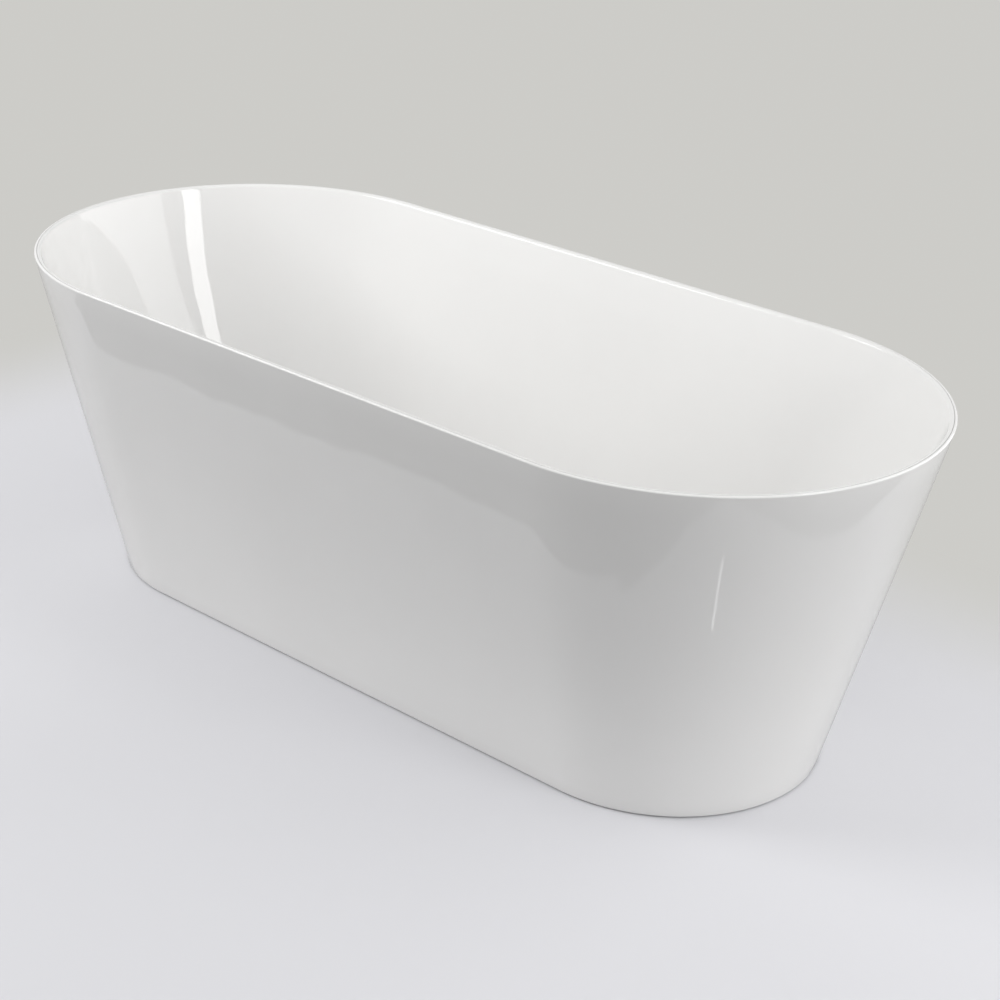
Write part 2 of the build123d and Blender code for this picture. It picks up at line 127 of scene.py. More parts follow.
def make_piece(name, sheets, body, finishes, replaces=(), loop=True, back_rows=None):
    """One object from grids of points, each of shape (rows, columns, 3), in metres.

    body is the name of the body that it rides on. Any other value, such as two bodies and the
    points between which it would go over from one to the other, is not used: the piece then rides
    on no body. back_rows is a range of rows whose faces take the second finish.
    """
    points, faces, picks = [], [], []
    count = 0
    for sheet in sheets:
        rows, columns = sheet.shape[:2]
        quads = grid_faces(rows, columns, loop)
        row_pick = np.zeros(len(quads) // columns, int)
        if back_rows:
            row_pick[back_rows[0]:back_rows[1]] = 1
        points.append(sheet.reshape(-1, 3))
        faces.append(quads + count)
        picks.append(np.repeat(row_pick, columns))
        count += rows * columns
    mesh = bpy.data.meshes.new(name)
    mesh.from_pydata(np.concatenate(points).tolist(), [], np.concatenate(faces).tolist())
    for material in finishes:
        mesh.materials.append(material)
    mesh.polygons.foreach_set("material_index", np.concatenate(picks).astype(np.int32))
    shell = bmesh.new()
    shell.from_mesh(mesh)
    bmesh.ops.remove_doubles(shell, verts=shell.verts, dist=MERGE_DISTANCE)
    bmesh.ops.recalc_face_normals(shell, faces=shell.faces)
    shell.to_mesh(mesh)
    shell.free()
    mesh.shade_smooth()
    mesh.set_sharp_from_angle(angle=SHARP_ANGLE)
    made = bpy.data.objects.new(name, mesh)
    bpy.context.scene.collection.objects.link(made)
    if isinstance(body, str):
        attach(made, body)
    else:
        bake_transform(made)
    if replaces:
        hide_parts(*replaces)
    print(f"{name}: {len(mesh.vertices)} points, {len(mesh.polygons)} faces")


def turned(sheet, centre=(0, 0)):
    """Points of a sheet of (radius, height) pairs whose columns are spread round an upright axis."""
    angle = circle(sheet.shape[1])
    radius, z = sheet[..., 0], sheet[..., 1]
    return np.stack([centre[0] + radius * np.cos(angle), centre[1] + radius * np.sin(angle), z], axis=-1)


def rings(profile, columns):
    """A sheet with the same (radius, height) profile in every column."""
    return np.repeat(np.asarray(profile)[:, None, :], columns, axis=1)


def circle(columns):
    """Evenly spaced angles round a full turn."""
    return np.linspace(0, 2 * math.pi, columns, endpoint=False)


def arc(centre, radius, start, end, steps):
    """Points (across, up) on an arc between two angles given in degrees."""
    angle = np.radians(np.linspace(start, end, steps))
    return np.stack([centre[0] + radius * np.cos(angle), centre[1] + radius * np.sin(angle)], axis=-1)


def run(start, end, steps):
    """Evenly spaced points (across, up) from start up to, but not at, end."""
    return np.linspace(start, end, steps, endpoint=False)


def box_section(half_width, half_height, columns, power):
    """A box with round corners: across and up are a cosine and a sine to a power, with their signs."""
    angle = circle(columns)
    across, up = (np.sign(wave) * np.abs(wave) ** power for wave in (np.cos(angle), np.sin(angle)))
    return half_width * across, half_height * up


# %% [markdown]
# ## Shared shader effects
# Several finishes need the same three effects: a slow ripple from forming the sheet, faint marks
# from handling that change the gloss, and the patchy crystals of a zinc coat. Each is built once
# as a node group and gets its own values in every material that uses it.


# %% Shader helpers
NOISE_SPAN = (0.3, 0.7)
SMUDGE_SPAN = (0.35, 0.7)


def add_node(tree, kind, settings=None, **inputs):
    """Add a shader node. Settings are its properties; inputs are values or sockets to link."""
    made = tree.nodes.new(kind)
    for key, value in (settings or {}).items():
        setattr(made, key, value)
    for key, value in inputs.items():
        socket = made.inputs[key.replace("_", " ")]
        if isinstance(value, bpy.types.NodeSocket):
            tree.links.new(value, socket)
        else:
            socket.default_value = value
    return made


def object_coordinates(tree):
    """The point being shaded, in the tub's own metres."""
    return add_node(tree, "ShaderNodeTexCoord").outputs["Object"]


def noise(tree, vector, scale, detail=2.0, roughness=0.5):
    """A noise value; scale is how many blobs fit into a metre."""
    values = {"Vector": vector, "Scale": scale, "Detail": detail, "Roughness": roughness}
    made = add_node(tree, "ShaderNodeTexNoise", **values)
    return made.outputs["Factor" if "Factor" in made.outputs else "Fac"]


def stretched(tree, vector, scale):
    """Coordinates scaled by different amounts along x, y and z."""
    return add_node(tree, "ShaderNodeMapping", Vector=vector, Scale=scale).outputs["Vector"]


def math_node(tree, operation, first, second=0.0):
    """Two values joined by one step of arithmetic."""
    made = add_node(tree, "ShaderNodeMath", {"operation": operation})
    for socket, value in zip(made.inputs, (first, second)):
        if isinstance(value, bpy.types.NodeSocket):
            tree.links.new(value, socket)
        else:
            socket.default_value = value
    return made.outputs["Value"]


def map_range(tree, value, span, low=0.0, high=1.0, curve="LINEAR"):
    """Map the span of a value onto low to high, and hold it there outside the span."""
    ends = {"From_Min": span[0], "From_Max": span[1], "To_Min": low, "To_Max": high}
    made = add_node(tree, "ShaderNodeMapRange", {"interpolation_type": curve}, Value=value, **ends)
    return made.outputs["Result"]


def spread(tree, value, low, high):
    """Map the span in which most noise lies onto low to high."""
    return map_range(tree, value, NOISE_SPAN, low, high)


def ramp(tree, value, *stops):
    """Colours chosen by a value; a stop is (position, (red, green, blue))."""
    made = add_node(tree, "ShaderNodeValToRGB", Fac=value)
    elements = made.color_ramp.elements
    while len(elements) < len(stops):
        elements.new(1.0)
    for element, (position, colour) in zip(elements, stops):
        element.position = position
        element.color = (*colour, 1)
    return made.outputs["Color"]


def two_tone(tree, value, dark, light):
    """Colours that go from dark to light over the span in which most noise lies."""
    return ramp(tree, value, (NOISE_SPAN[0], dark), (NOISE_SPAN[1], light))


def effect_group(name, inputs, outputs):
    """An empty node group with named number sockets, and its input and output nodes."""
    tree = bpy.data.node_groups.new(name, "ShaderNodeTree")
    for socket_name, value in inputs.items():
        socket = tree.interface.new_socket(socket_name, in_out="INPUT", socket_type="NodeSocketFloat")
        socket.default_value = value
    for socket_name in outputs:
        tree.interface.new_socket(socket_name, in_out="OUTPUT", socket_type="NodeSocketFloat")
    return tree, add_node(tree, "NodeGroupInput").outputs, add_node(tree, "NodeGroupOutput")


def use_group(tree, group, **values):
    """Place a node group in a material and return its outputs."""
    return add_node(tree, "ShaderNodeGroup", {"node_tree": group}, **values).outputs


# %% Three shared effects
forming_ripple, given, result = effect_group(
    "forming_ripple",
    {"Wave Scale": 5.0, "Wave Height": 1.0, "Peel Scale": 700.0, "Peel Height": 0.02},
    ["Height"],
)
place = object_coordinates(forming_ripple)
waves = math_node(
    forming_ripple, "MULTIPLY", noise(forming_ripple, place, given["Wave Scale"]), given["Wave Height"]
)
peel = math_node(
    forming_ripple, "MULTIPLY", noise(forming_ripple, place, given["Peel Scale"]), given["Peel Height"]
)
forming_ripple.links.new(math_node(forming_ripple, "ADD", waves, peel), result.inputs["Height"])

handling_marks, given, result = effect_group(
    "handling_marks", {"Scale": 12.0, "Least": 0.05, "Most": 0.1}, ["Gloss Loss"]
)
place = object_coordinates(handling_marks)
smudges = noise(handling_marks, place, given["Scale"], detail=6.0, roughness=0.62)
loss = map_range(handling_marks, smudges, SMUDGE_SPAN, given["Least"], given["Most"])
handling_marks.links.new(loss, result.inputs["Gloss Loss"])

zinc_crystals, given, result = effect_group("zinc_crystals", {"Scale": 160.0}, ["Tone", "Height"])
place = object_coordinates(zinc_crystals)
cells = add_node(zinc_crystals, "ShaderNodeTexVoronoi", Vector=place, Scale=given["Scale"])
tone = add_node(zinc_crystals, "ShaderNodeSeparateColor", Color=cells.outputs["Color"])
zinc_crystals.links.new(tone.outputs["Red"], result.inputs["Tone"])
zinc_crystals.links.new(cells.outputs["Distance"], result.inputs["Height"])
print("shared effects:", [g.name for g in bpy.data.node_groups])


# %% [markdown]
# ## Finishes
# White sanitary acrylic is a clear-looking gloss over an even, faintly warm white. Its gloss is
# good but not a mirror: the sheet was blown into a mould, so a reflection wavers. The hidden
# faces of both skins are sprayed with resin and chopped glass, which is dull and straw-coloured.
# Steel, plastic, rubber and wood below follow the same pattern: colour, gloss and a fine relief.


# %% Material helper
def finish(name, **sockets):
    """A material whose Principled shader has plain values; returns it, its tree and the shader."""
    material = bpy.data.materials.new(name)
    material.use_nodes = True
    tree = material.node_tree
    shader = tree.nodes["Principled BSDF"]
    for key, value in sockets.items():
        shader.inputs[key.replace("_", " ")].default_value = value
    return material, tree, shader


def wire(tree, shader, **sockets):
    """Link sockets to the shader's inputs of the same names."""
    for key, socket in sockets.items():
        tree.links.new(socket, shader.inputs[key.replace("_", " ")])


def relief(tree, shader, height, distance, strength=1.0):
    """Feed a height into the shader's normal; distance is the height's size in metres."""
    bump = add_node(tree, "ShaderNodeBump", Height=height, Distance=distance, Strength=strength)
    tree.links.new(bump.outputs["Normal"], shader.inputs["Normal"])


# %% Acrylic and its glass-fibre back
acrylic, tree, shader = finish("acrylic_white_gloss", IOR=1.49)
clouds = noise(tree, object_coordinates(tree), 3.0, detail=3.0)
wire(
    tree, shader,
    Base_Color=two_tone(tree, clouds, (0.805, 0.801, 0.791), (0.825, 0.821, 0.811)),
    Roughness=use_group(tree, handling_marks, Scale=9.0, Least=0.025, Most=0.045)["Gloss Loss"],
)
ripple = use_group(
    tree, forming_ripple, Wave_Scale=4.5, Wave_Height=1.0, Peel_Scale=420.0, Peel_Height=0.004
)
relief(tree, shader, ripple["Height"], 0.0016)

glass_fibre, tree, shader = finish("glass_fibre_back", IOR=1.5)
place = object_coordinates(tree)
strands = noise(tree, stretched(tree, place, (40, 420, 140)), 1.0, detail=4.0)
crossing = noise(tree, stretched(tree, place, (380, 45, 160)), 1.0, detail=4.0)
mat = math_node(tree, "MAXIMUM", strands, crossing)
wire(
    tree, shader,
    Base_Color=ramp(
        tree, mat, (0.4, (0.46, 0.43, 0.33)), (0.62, (0.62, 0.60, 0.50)), (0.75, (0.74, 0.73, 0.66))
    ),
    Roughness=spread(tree, mat, 0.34, 0.62),
)
relief(tree, shader, mat, 0.0012)

# %% Bonding pastes
# the paste's dark grey is partly its own colour and partly painted shade that darkens the seam line
seam_paste_and_shade, tree, shader = finish("seam_paste_and_shade", IOR=1.45)
grain = noise(tree, object_coordinates(tree), 60.0, detail=3.0)
wire(
    tree, shader,
    Base_Color=two_tone(tree, grain, (0.34, 0.335, 0.32), (0.41, 0.405, 0.39)),
    Roughness=use_group(tree, handling_marks, Scale=40.0, Least=0.35, Most=0.5)["Gloss Loss"],
)

adhesive, tree, shader = finish("frame_adhesive", IOR=1.45)
lumps = noise(tree, object_coordinates(tree), 90.0, detail=4.0)
wire(
    tree, shader,
    Base_Color=two_tone(tree, lumps, (0.50, 0.50, 0.49), (0.62, 0.62, 0.60)),
    Roughness=spread(tree, lumps, 0.4, 0.6),
)
relief(tree, shader, lumps, 0.004)

# %% Plywood
PLIES_PER_METRE = 690
PLY_SHADE = 0.22
plywood, tree, shader = finish("plywood", IOR=1.5)
place = object_coordinates(tree)
grain = noise(tree, stretched(tree, place, (3, 60, 60)), 1.0, detail=6.0, roughness=0.6)
depth = add_node(tree, "ShaderNodeSeparateXYZ", Vector=place).outputs["Z"]
ply = math_node(tree, "FRACT", math_node(tree, "MULTIPLY", depth, PLIES_PER_METRE / 2))
ply = math_node(tree, "MULTIPLY", math_node(tree, "GREATER_THAN", ply, 0.5), PLY_SHADE)
tone = math_node(tree, "SUBTRACT", grain, ply)
wire(
    tree, shader,
    Base_Color=ramp(
        tree, tone, (0.15, (0.25, 0.14, 0.07)), (0.45, (0.45, 0.30, 0.17)), (0.7, (0.60, 0.44, 0.27))
    ),
    Roughness=spread(tree, grain, 0.55, 0.75),
)
relief(tree, shader, grain, 0.0006)


# %% Metals
def metal(name, dark, light, least, most, marks_scale):
    """A metal whose colour and gloss drift a little over the surface."""
    made, nodes, bsdf = finish(name, Metallic=1.0)
    drift = noise(nodes, object_coordinates(nodes), marks_scale, detail=4.0)
    wire(
        nodes, bsdf,
        Base_Color=two_tone(nodes, drift, dark, light),
        Roughness=use_group(nodes, handling_marks, Scale=marks_scale, Least=least, Most=most)["Gloss Loss"],
    )
    return made, nodes, bsdf


galvanised, tree, shader = finish("galvanised_steel", Metallic=1.0)
crystals = use_group(tree, zinc_crystals, Scale=110.0)
wire(
    tree, shader,
    Base_Color=ramp(tree, crystals["Tone"], (0.0, (0.42, 0.44, 0.46)), (1.0, (0.62, 0.64, 0.66))),
    Roughness=spread(tree, crystals["Tone"], 0.34, 0.5),
)
relief(tree, shader, crystals["Height"], 0.00012)

zinc_steel, tree, shader = metal(
    "zinc_plated_steel", (0.52, 0.53, 0.54), (0.70, 0.71, 0.71), 0.2, 0.38, 90.0
)
crystals = use_group(tree, zinc_crystals, Scale=900.0)
relief(tree, shader, crystals["Height"], 0.000012)

chrome, tree, shader = metal("chrome_plate", (0.70, 0.71, 0.72), (0.78, 0.785, 0.79), 0.05, 0.13, 45.0)
ripple = use_group(
    tree, forming_ripple, Wave_Scale=60.0, Wave_Height=0.2, Peel_Scale=900.0, Peel_Height=0.02
)
relief(tree, shader, ripple["Height"], 0.0003)

brass, tree, shader = metal("turned_brass", (0.58, 0.40, 0.17), (0.74, 0.55, 0.27), 0.2, 0.36, 70.0)
lathe = noise(tree, stretched(tree, object_coordinates(tree), (10, 10, 4000)), 1.0)
relief(tree, shader, lathe, 0.0002)


# %% Plastics and rubber
def moulded(name, dark, light, least, most, peel_scale, peel_depth):
    """A moulded plastic or rubber: slight colour drift, uneven gloss and a fine skin texture."""
    made, nodes, bsdf = finish(name, IOR=1.5)
    drift = noise(nodes, object_coordinates(nodes), 25.0, detail=3.0)
    wire(
        nodes, bsdf,
        Base_Color=two_tone(nodes, drift, dark, light),
        Roughness=use_group(nodes, handling_marks, Scale=50.0, Least=least, Most=most)["Gloss Loss"],
    )
    skin = use_group(
        nodes, forming_ripple, Wave_Scale=30.0, Wave_Height=0.1, Peel_Scale=peel_scale, Peel_Height=1.0
    )
    relief(nodes, bsdf, skin["Height"], peel_depth)
    return made


black_plastic = moulded(
    "black_plastic", (0.018, 0.018, 0.019), (0.035, 0.035, 0.036), 0.38, 0.55, 1500.0, 0.0001
)
black_rubber = moulded(
    "black_rubber", (0.012, 0.012, 0.012), (0.028, 0.027, 0.026), 0.6, 0.8, 900.0, 0.0001
)
white_pvc = moulded("white_pvc", (0.72, 0.72, 0.69), (0.80, 0.80, 0.77), 0.28, 0.42, 1200.0, 0.00005)
grey_plastic = moulded("grey_plastic", (0.22, 0.225, 0.23), (0.30, 0.305, 0.31), 0.35, 0.5, 1300.0, 0.0001)
print("finishes:", [m.name for m in bpy.data.materials if m.use_nodes])

# %% [markdown]
# ## The stadium that goes round the tub
# Seen from above, every level of the tub is a stadium: two straight sides and two half circles.
# One level is then just two numbers, half the straight and the radius of the ends. Along the
# outline each point keeps its share of the straight and the direction it faces, so a whole skin
# is a table of levels times a row of directions.

# %% Stadium levels
STRAIGHT_STEPS = 36
TURN_STEPS = 160

straight = np.linspace(-1, 1, STRAIGHT_STEPS, endpoint=False)
turn = np.linspace(-math.pi / 2, math.pi / 2, TURN_STEPS, endpoint=False)
share_along = np.concatenate([straight, np.ones(TURN_STEPS), -straight, -np.ones(TURN_STEPS)])
facing = np.concatenate([
    np.full(STRAIGHT_STEPS, -math.pi / 2), turn, np.full(STRAIGHT_STEPS, math.pi / 2), turn + math.pi
])


def stadium_levels(half_straight, radius, z):
    """Points of levels: x = share * half straight + radius * cos, y = radius * sin, at height z."""
    x = np.outer(half_straight, share_along) + np.outer(radius, np.cos(facing))
    y = np.outer(radius, np.sin(facing))
    return np.stack([x, y, np.broadcast_to(np.asarray(z)[:, None], x.shape)], axis=-1)


# %% [markdown]
# ## Skirt
# The skirt is one tapered wall about 5 mm thick. It could be a straight loft with a Bevel, but
# the rim is what catches the light, so its profile is drawn out: up the wall, round a narrow
# edge, level to the seam, and back down inside. The profile is carried round the stadium.

# %% Skirt
FLOOR_GAP, RIM_HEIGHT = levels_of("skirt")
RIM_LENGTH, RIM_WIDTH = 1700 * MM, 765 * MM
BASE_LENGTH, BASE_WIDTH = 1416 * MM, 503 * MM
SKIRT_WALL = 5.1 * MM
OUTER_EDGE = 2.6 * MM
FOOT_EDGE = 0.8 * MM
SEAM_EDGE = 0.8 * MM
WALL_SKIRT_ROWS = 28
BACK_ROWS = 16

skirt_lean = (RIM_WIDTH - BASE_WIDTH) / 2 / RIM_HEIGHT
skirt_angle = math.degrees(math.atan(skirt_lean))


def skirt_level(z):
    """Half straight and radius of the skirt's outside at height z, by the taper's share."""
    up = z / RIM_HEIGHT
    length = BASE_LENGTH + (RIM_LENGTH - BASE_LENGTH) * up
    width = BASE_WIDTH + (RIM_WIDTH - BASE_WIDTH) * up
    return (length - width) / 2, width / 2


def wall_point(z):
    """A point (out, up) on the outside of the wall; out is counted from the rim's virtual edge."""
    return -skirt_lean * (RIM_HEIGHT - z), z


edge_out = -OUTER_EDGE * (skirt_lean + 1 / math.cos(math.radians(skirt_angle)))
edge_up = RIM_HEIGHT - OUTER_EDGE
wall_foot, _ = wall_point(FLOOR_GAP)
rim_edge = arc((edge_out, edge_up), OUTER_EDGE, -skirt_angle, 90, 9)
skirt_profile = np.concatenate([
    arc((wall_foot - FOOT_EDGE, FLOOR_GAP + FOOT_EDGE), FOOT_EDGE, -90, -skirt_angle, 5),
    run(wall_point(FLOOR_GAP + 2 * FOOT_EDGE), wall_point(edge_up), WALL_SKIRT_ROWS)[:-1],
    rim_edge,
    arc((-SKIRT_WALL + SEAM_EDGE, RIM_HEIGHT - SEAM_EDGE), SEAM_EDGE, 90, 180, 4),
    run((-SKIRT_WALL - skirt_lean * MM, RIM_HEIGHT - MM), (wall_foot - SKIRT_WALL, FLOOR_GAP), BACK_ROWS),
    [(wall_foot - SKIRT_WALL, FLOOR_GAP)],
])
half_straight, _ = skirt_level(skirt_profile[:, 1])
skirt_points = stadium_levels(half_straight, RIM_WIDTH / 2 + skirt_profile[:, 0], skirt_profile[:, 1])
last_row = len(skirt_profile) - 1
make_piece(
    "tub_skirt", [skirt_points], "tub", [acrylic, glass_fibre], ["skirt"],
    back_rows=(last_row - BACK_ROWS, last_row),
)

# %% [markdown]
# ## Basin
# The inside wall is one cubic curve from the rim to the floor: it leaves the rim at a slope and
# runs level into the floor, further in at the ends than at the sides so that a back can rest
# there. The same curve, moved out by the skin's thickness, gives the underside. Rim, wall,
# floor, waste recess and underside together make one closed shell.

# %% Basin wall curve
BASIN_WALL = 5.2 * MM
RIM_BAND = 11 * MM
INNER_EDGE = 6 * MM
BASIN_DEPTH = 436 * MM
WALL_HANDLE = 250 * MM
END_SLOPE, END_HANDLE, END_INSET = 0.24, 190 * MM, 300 * MM
SIDE_SLOPE, SIDE_HANDLE, SIDE_INSET = 0.27, 95 * MM, 175 * MM
OUTER_HANDLE_SHARE = 0.7
TABLE_STEPS = 2001
BASIN_FLOOR = RIM_HEIGHT - BASIN_DEPTH


def bezier(t, p0, p1, p2, p3):
    """One coordinate of a cubic Bezier curve."""
    s = 1 - t
    return s**3 * p0 + 3 * s**2 * t * p1 + 3 * s * t**2 * p2 + t**3 * p3


def basin_level(t, wall):
    """Half straight, radius and height of the basin at t, from the rim (0) to the floor (1).

    A wall of 0 gives the inside, and the skin's thickness gives the underside.
    """
    floor = BASIN_DEPTH + wall
    trim = OUTER_HANDLE_SHARE * wall
    end = bezier(t, -wall, END_SLOPE * WALL_HANDLE - wall, END_HANDLE - trim, END_INSET)
    side_in = bezier(t, -wall, SIDE_SLOPE * WALL_HANDLE - wall, SIDE_HANDLE - trim, SIDE_INSET)
    half = (RIM_LENGTH - RIM_WIDTH) / 2 + side_in - end
    return half, RIM_WIDTH / 2 - RIM_BAND - side_in, RIM_HEIGHT - bezier(t, 0, WALL_HANDLE, floor, floor)


def share_at(z, wall):
    """The wall curve's t at height z, read off a fine table."""
    table = np.linspace(0, 1, TABLE_STEPS)
    return np.interp(RIM_HEIGHT - np.asarray(z), RIM_HEIGHT - basin_level(table, wall)[2], table)


# %% Basin shell
WALL_ROWS = 44
UNDER_TOP_SHARE = 0.002
FLOOR_ROWS = 14
FLOOR_ROW_POWER = 0.8
RECESS_RADIUS = 42 * MM
RECESS_EDGE = 1.5 * MM
HOLE_RADIUS = 25 * MM
BOSS_RADIUS = 50 * MM
BOSS_EDGE = 2 * MM
RECESS_FLOOR, _ = levels_of("waste_flange_seal")
BOSS_BOTTOM, _ = levels_of("basin")

side_angle = math.degrees(math.atan(SIDE_SLOPE))
inner_edge_in = RIM_BAND + SIDE_SLOPE * INNER_EDGE - INNER_EDGE / math.cos(math.radians(side_angle))
inner_edge = arc((-inner_edge_in, RIM_HEIGHT - INNER_EDGE), INNER_EDGE, 90, 180 - side_angle, 12)
seam_side = RIM_BAND - BASIN_WALL
rim_profile = np.concatenate([
    arc((-seam_side - SEAM_EDGE / 2, RIM_HEIGHT - SEAM_EDGE / 2), SEAM_EDGE / 2, 0, 90, 3),
    inner_edge,
])
rim_levels = stadium_levels(
    basin_level(share_at(rim_profile[:, 1], 0), 0)[0], RIM_WIDTH / 2 + rim_profile[:, 0], rim_profile[:, 1]
)
first_share = share_at(inner_edge[-1, 1], 0)
wall_levels = stadium_levels(*basin_level(np.linspace(first_share, 1, WALL_ROWS)[1:], 0))
under_levels = stadium_levels(*basin_level(np.linspace(1, UNDER_TOP_SHARE, WALL_ROWS), BASIN_WALL))


def floor_levels(outline, radius, z, rows):
    """Rows that move straight in from a level outline to a circle, each point along its own ray."""
    angle = np.arctan2(outline[:, 1], outline[:, 0])
    rim = np.stack([radius * np.cos(angle), radius * np.sin(angle), np.full_like(angle, z)], axis=-1)
    share = np.linspace(0, 1, rows)[1:, None, None] ** FLOOR_ROW_POWER
    return outline * (1 - share) + rim * share


def rings_like(outline, profile):
    """Circles of a (radius, height) profile whose points lie at the outline's angles."""
    angle = np.arctan2(outline[:, 1], outline[:, 0])
    radius, z = profile[:, :1], profile[:, 1:]
    height = np.broadcast_to(z, (len(z), len(angle)))
    return np.stack([radius * np.cos(angle), radius * np.sin(angle), height], axis=-1)


floor_edge, under_edge = wall_levels[-1], under_levels[0]
recess = rings_like(floor_edge, np.concatenate([
    arc((RECESS_RADIUS + RECESS_EDGE, BASIN_FLOOR - RECESS_EDGE), RECESS_EDGE, 90, 180, 6)[1:],
    arc((RECESS_RADIUS - RECESS_EDGE, RECESS_FLOOR + RECESS_EDGE), RECESS_EDGE, 0, -90, 6),
    [(HOLE_RADIUS + MM, RECESS_FLOOR), (HOLE_RADIUS, RECESS_FLOOR - MM)],
    [(HOLE_RADIUS, BOSS_BOTTOM + MM), (HOLE_RADIUS + MM, BOSS_BOTTOM)],
]))
boss_ring = np.array([(BOSS_RADIUS - BOSS_EDGE, BOSS_BOTTOM), (BOSS_RADIUS, BOSS_BOTTOM + BOSS_EDGE)])
boss = rings_like(under_edge, np.vstack([boss_ring, (BOSS_RADIUS, under_edge[0, 2])]))
under_floor = floor_levels(under_edge, BOSS_RADIUS, under_edge[0, 2], FLOOR_ROWS)[-2::-1]
flat_floor = floor_levels(floor_edge, RECESS_RADIUS + RECESS_EDGE, BASIN_FLOOR, FLOOR_ROWS)
front = [rim_levels, wall_levels, flat_floor, recess]
basin_points = np.concatenate(front + [boss, under_floor, under_levels])
front_rows = sum(len(part) for part in front)
make_piece(
    "tub_basin", [basin_points], "tub", [acrylic, glass_fibre], ["basin"],
    back_rows=(front_rows, len(basin_points) - 1),
)

# %% [markdown]
# ## Rim seam
# Between the two skins the rim shows a line as thin as a pencil stroke, where the bonding paste
# sits a little below the surface. A painted line would vanish close up, so the paste is a real strip
# with a hollow top, running down into the wedge between the skins. Its dark grey is partly the
# paste's own colour and partly painted shade that darkens the line.

# %% Rim seam
SEAM_RECESS = 0.3 * MM
SEAM_DEPTH = 40 * MM
SEAM_SIDE_ROWS = 8
SEAM_END_ROWS = 6
SEAM_DIP = 0.15 * MM
SEAM_BELLY = 0.5 * MM

paste_z = np.linspace(RIM_HEIGHT - SEAM_RECESS, RIM_HEIGHT - SEAM_DEPTH, SEAM_SIDE_ROWS)
outer_half, outer_radius = skirt_level(paste_z)
inner_half, inner_radius, _ = basin_level(share_at(paste_z, BASIN_WALL), BASIN_WALL)
outer_side = np.stack([outer_half, outer_radius - SKIRT_WALL, paste_z], axis=-1)
inner_side = np.stack([inner_half, inner_radius, paste_z], axis=-1)


def hollow(start, end, sag):
    """Levels between two levels, dipping by a sag in the middle along a parabola."""
    share = np.linspace(0, 1, SEAM_END_ROWS)[1:-1, None]
    dip = np.concatenate([np.zeros((len(share), 2)), 4 * share * (1 - share) * sag], axis=-1)
    return start + (end - start) * share - dip


paste = np.concatenate([
    outer_side[::-1],
    hollow(outer_side[0], inner_side[0], SEAM_DIP),
    inner_side,
    hollow(inner_side[-1], outer_side[-1], -SEAM_BELLY),
])
make_piece(
    "rim_seam", [stadium_levels(*paste.T)], "tub", [seam_paste_and_shade], ["rim_joint_filler"]
)

# %% [markdown]
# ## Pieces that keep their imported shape
# Board, tubes, caps, seals and pipe are plain straight parts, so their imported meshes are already
# right. They could be drawn again, but only the finish is missing: it goes into their slots.

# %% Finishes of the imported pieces
PACKED_FINISHES = {
    "base_board": plywood,
    "frame_rail_front": galvanised,
    "frame_rail_back": galvanised,
    "rail_end_caps": black_plastic,
    "waste_flange_seal": black_rubber,
    "waste_washer": black_rubber,
    "tailpiece_washer": black_rubber,
    "plug_seal": black_rubber,
    "tailpiece": white_pvc,
    "plug_stem": brass,
    "plug_cartridge": grey_plastic,
}
CROSSBARS = [f"frame_crossbar_{number}" for number in range(1, 5)]
PACKED_FINISHES.update({name: galvanised for name in CROSSBARS})
for name, material in PACKED_FINISHES.items():
    for packed_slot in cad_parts[name].material_slots:
        packed_slot.material = material
print("packed pieces kept:", len(PACKED_FINISHES))

# %% [markdown]
# ## Threads and nuts
# A thread could be a screw modifier on a profile, but then its ends need mending. Here a turned
# surface gets a radius that depends on the angle as well as the height: the ridge climbs one
# pitch in each turn. A nut is the same idea with the radius of a polygon, cut by a cone at both
# ends, which leaves the curved corners that every nut has.


# %% Threads and nuts
CONE_SLOPE = math.tan(math.radians(30))
CONE_SHARE = 0.96
CONE_ROWS = 5
THREAD_ROWS_PER_PITCH = 8
FLANK_SLOPE = 1.3
ROOT_FLAT = 0.15
THREAD_PLAY = 0.06 * MM
NUT_EASE = 0.5 * MM
HEXAGON = 6


def threaded(bottom, top, root, crest, pitch, columns):
    """A right-hand thread: radius is a flat-topped wave of height less the angle's share of a turn."""
    z = np.arange(bottom, top, pitch / THREAD_ROWS_PER_PITCH)
    phase = (z[:, None] / pitch - circle(columns) / (2 * math.pi)) % 1
    radius = root + (crest - root) * np.clip(FLANK_SLOPE * np.abs(2 * phase - 1) - ROOT_FLAT, 0, 1)
    return np.stack([radius, np.broadcast_to(z[:, None], radius.shape)], axis=-1)


def prism(sides, flats, bottom, top, columns):
    """A polygon with cut corners: radius is the lesser of half the flats over a cosine and a cone."""
    part = 2 * math.pi / sides
    shape = flats / 2 / np.cos(circle(columns) % part - part / 2)
    cone_start = CONE_SHARE * flats / 2
    rise = np.linspace(0, (shape.max() - cone_start) * CONE_SLOPE, CONE_ROWS)
    cone = cone_start + np.concatenate([rise, rise[::-1]]) / CONE_SLOPE
    z = np.concatenate([bottom + rise, top - rise[::-1]])
    radius = np.minimum(shape, cone[:, None])
    return np.stack([radius, np.broadcast_to(z[:, None], radius.shape)], axis=-1)


def nut(sides, flats, bore, bottom, top, columns):
    """A prism with a bore whose mouths are eased."""
    mouth = bore + NUT_EASE
    hole = [(mouth, top), (bore, top - NUT_EASE), (bore, bottom + NUT_EASE), (mouth, bottom)]
    return np.concatenate([prism(sides, flats, bottom, top, columns), rings(hole, columns)])


# %% [markdown]
# ## Levelling feet
# Four screw feet carry the tub. Each has a plastic pad with a stud standing in it; a spanner on
# the stud's hexagon turns it in a nut welded under the crossbar, and a second nut locks it. The
# stud turns while the pad only rises and falls, so the two ride on bodies of their own.

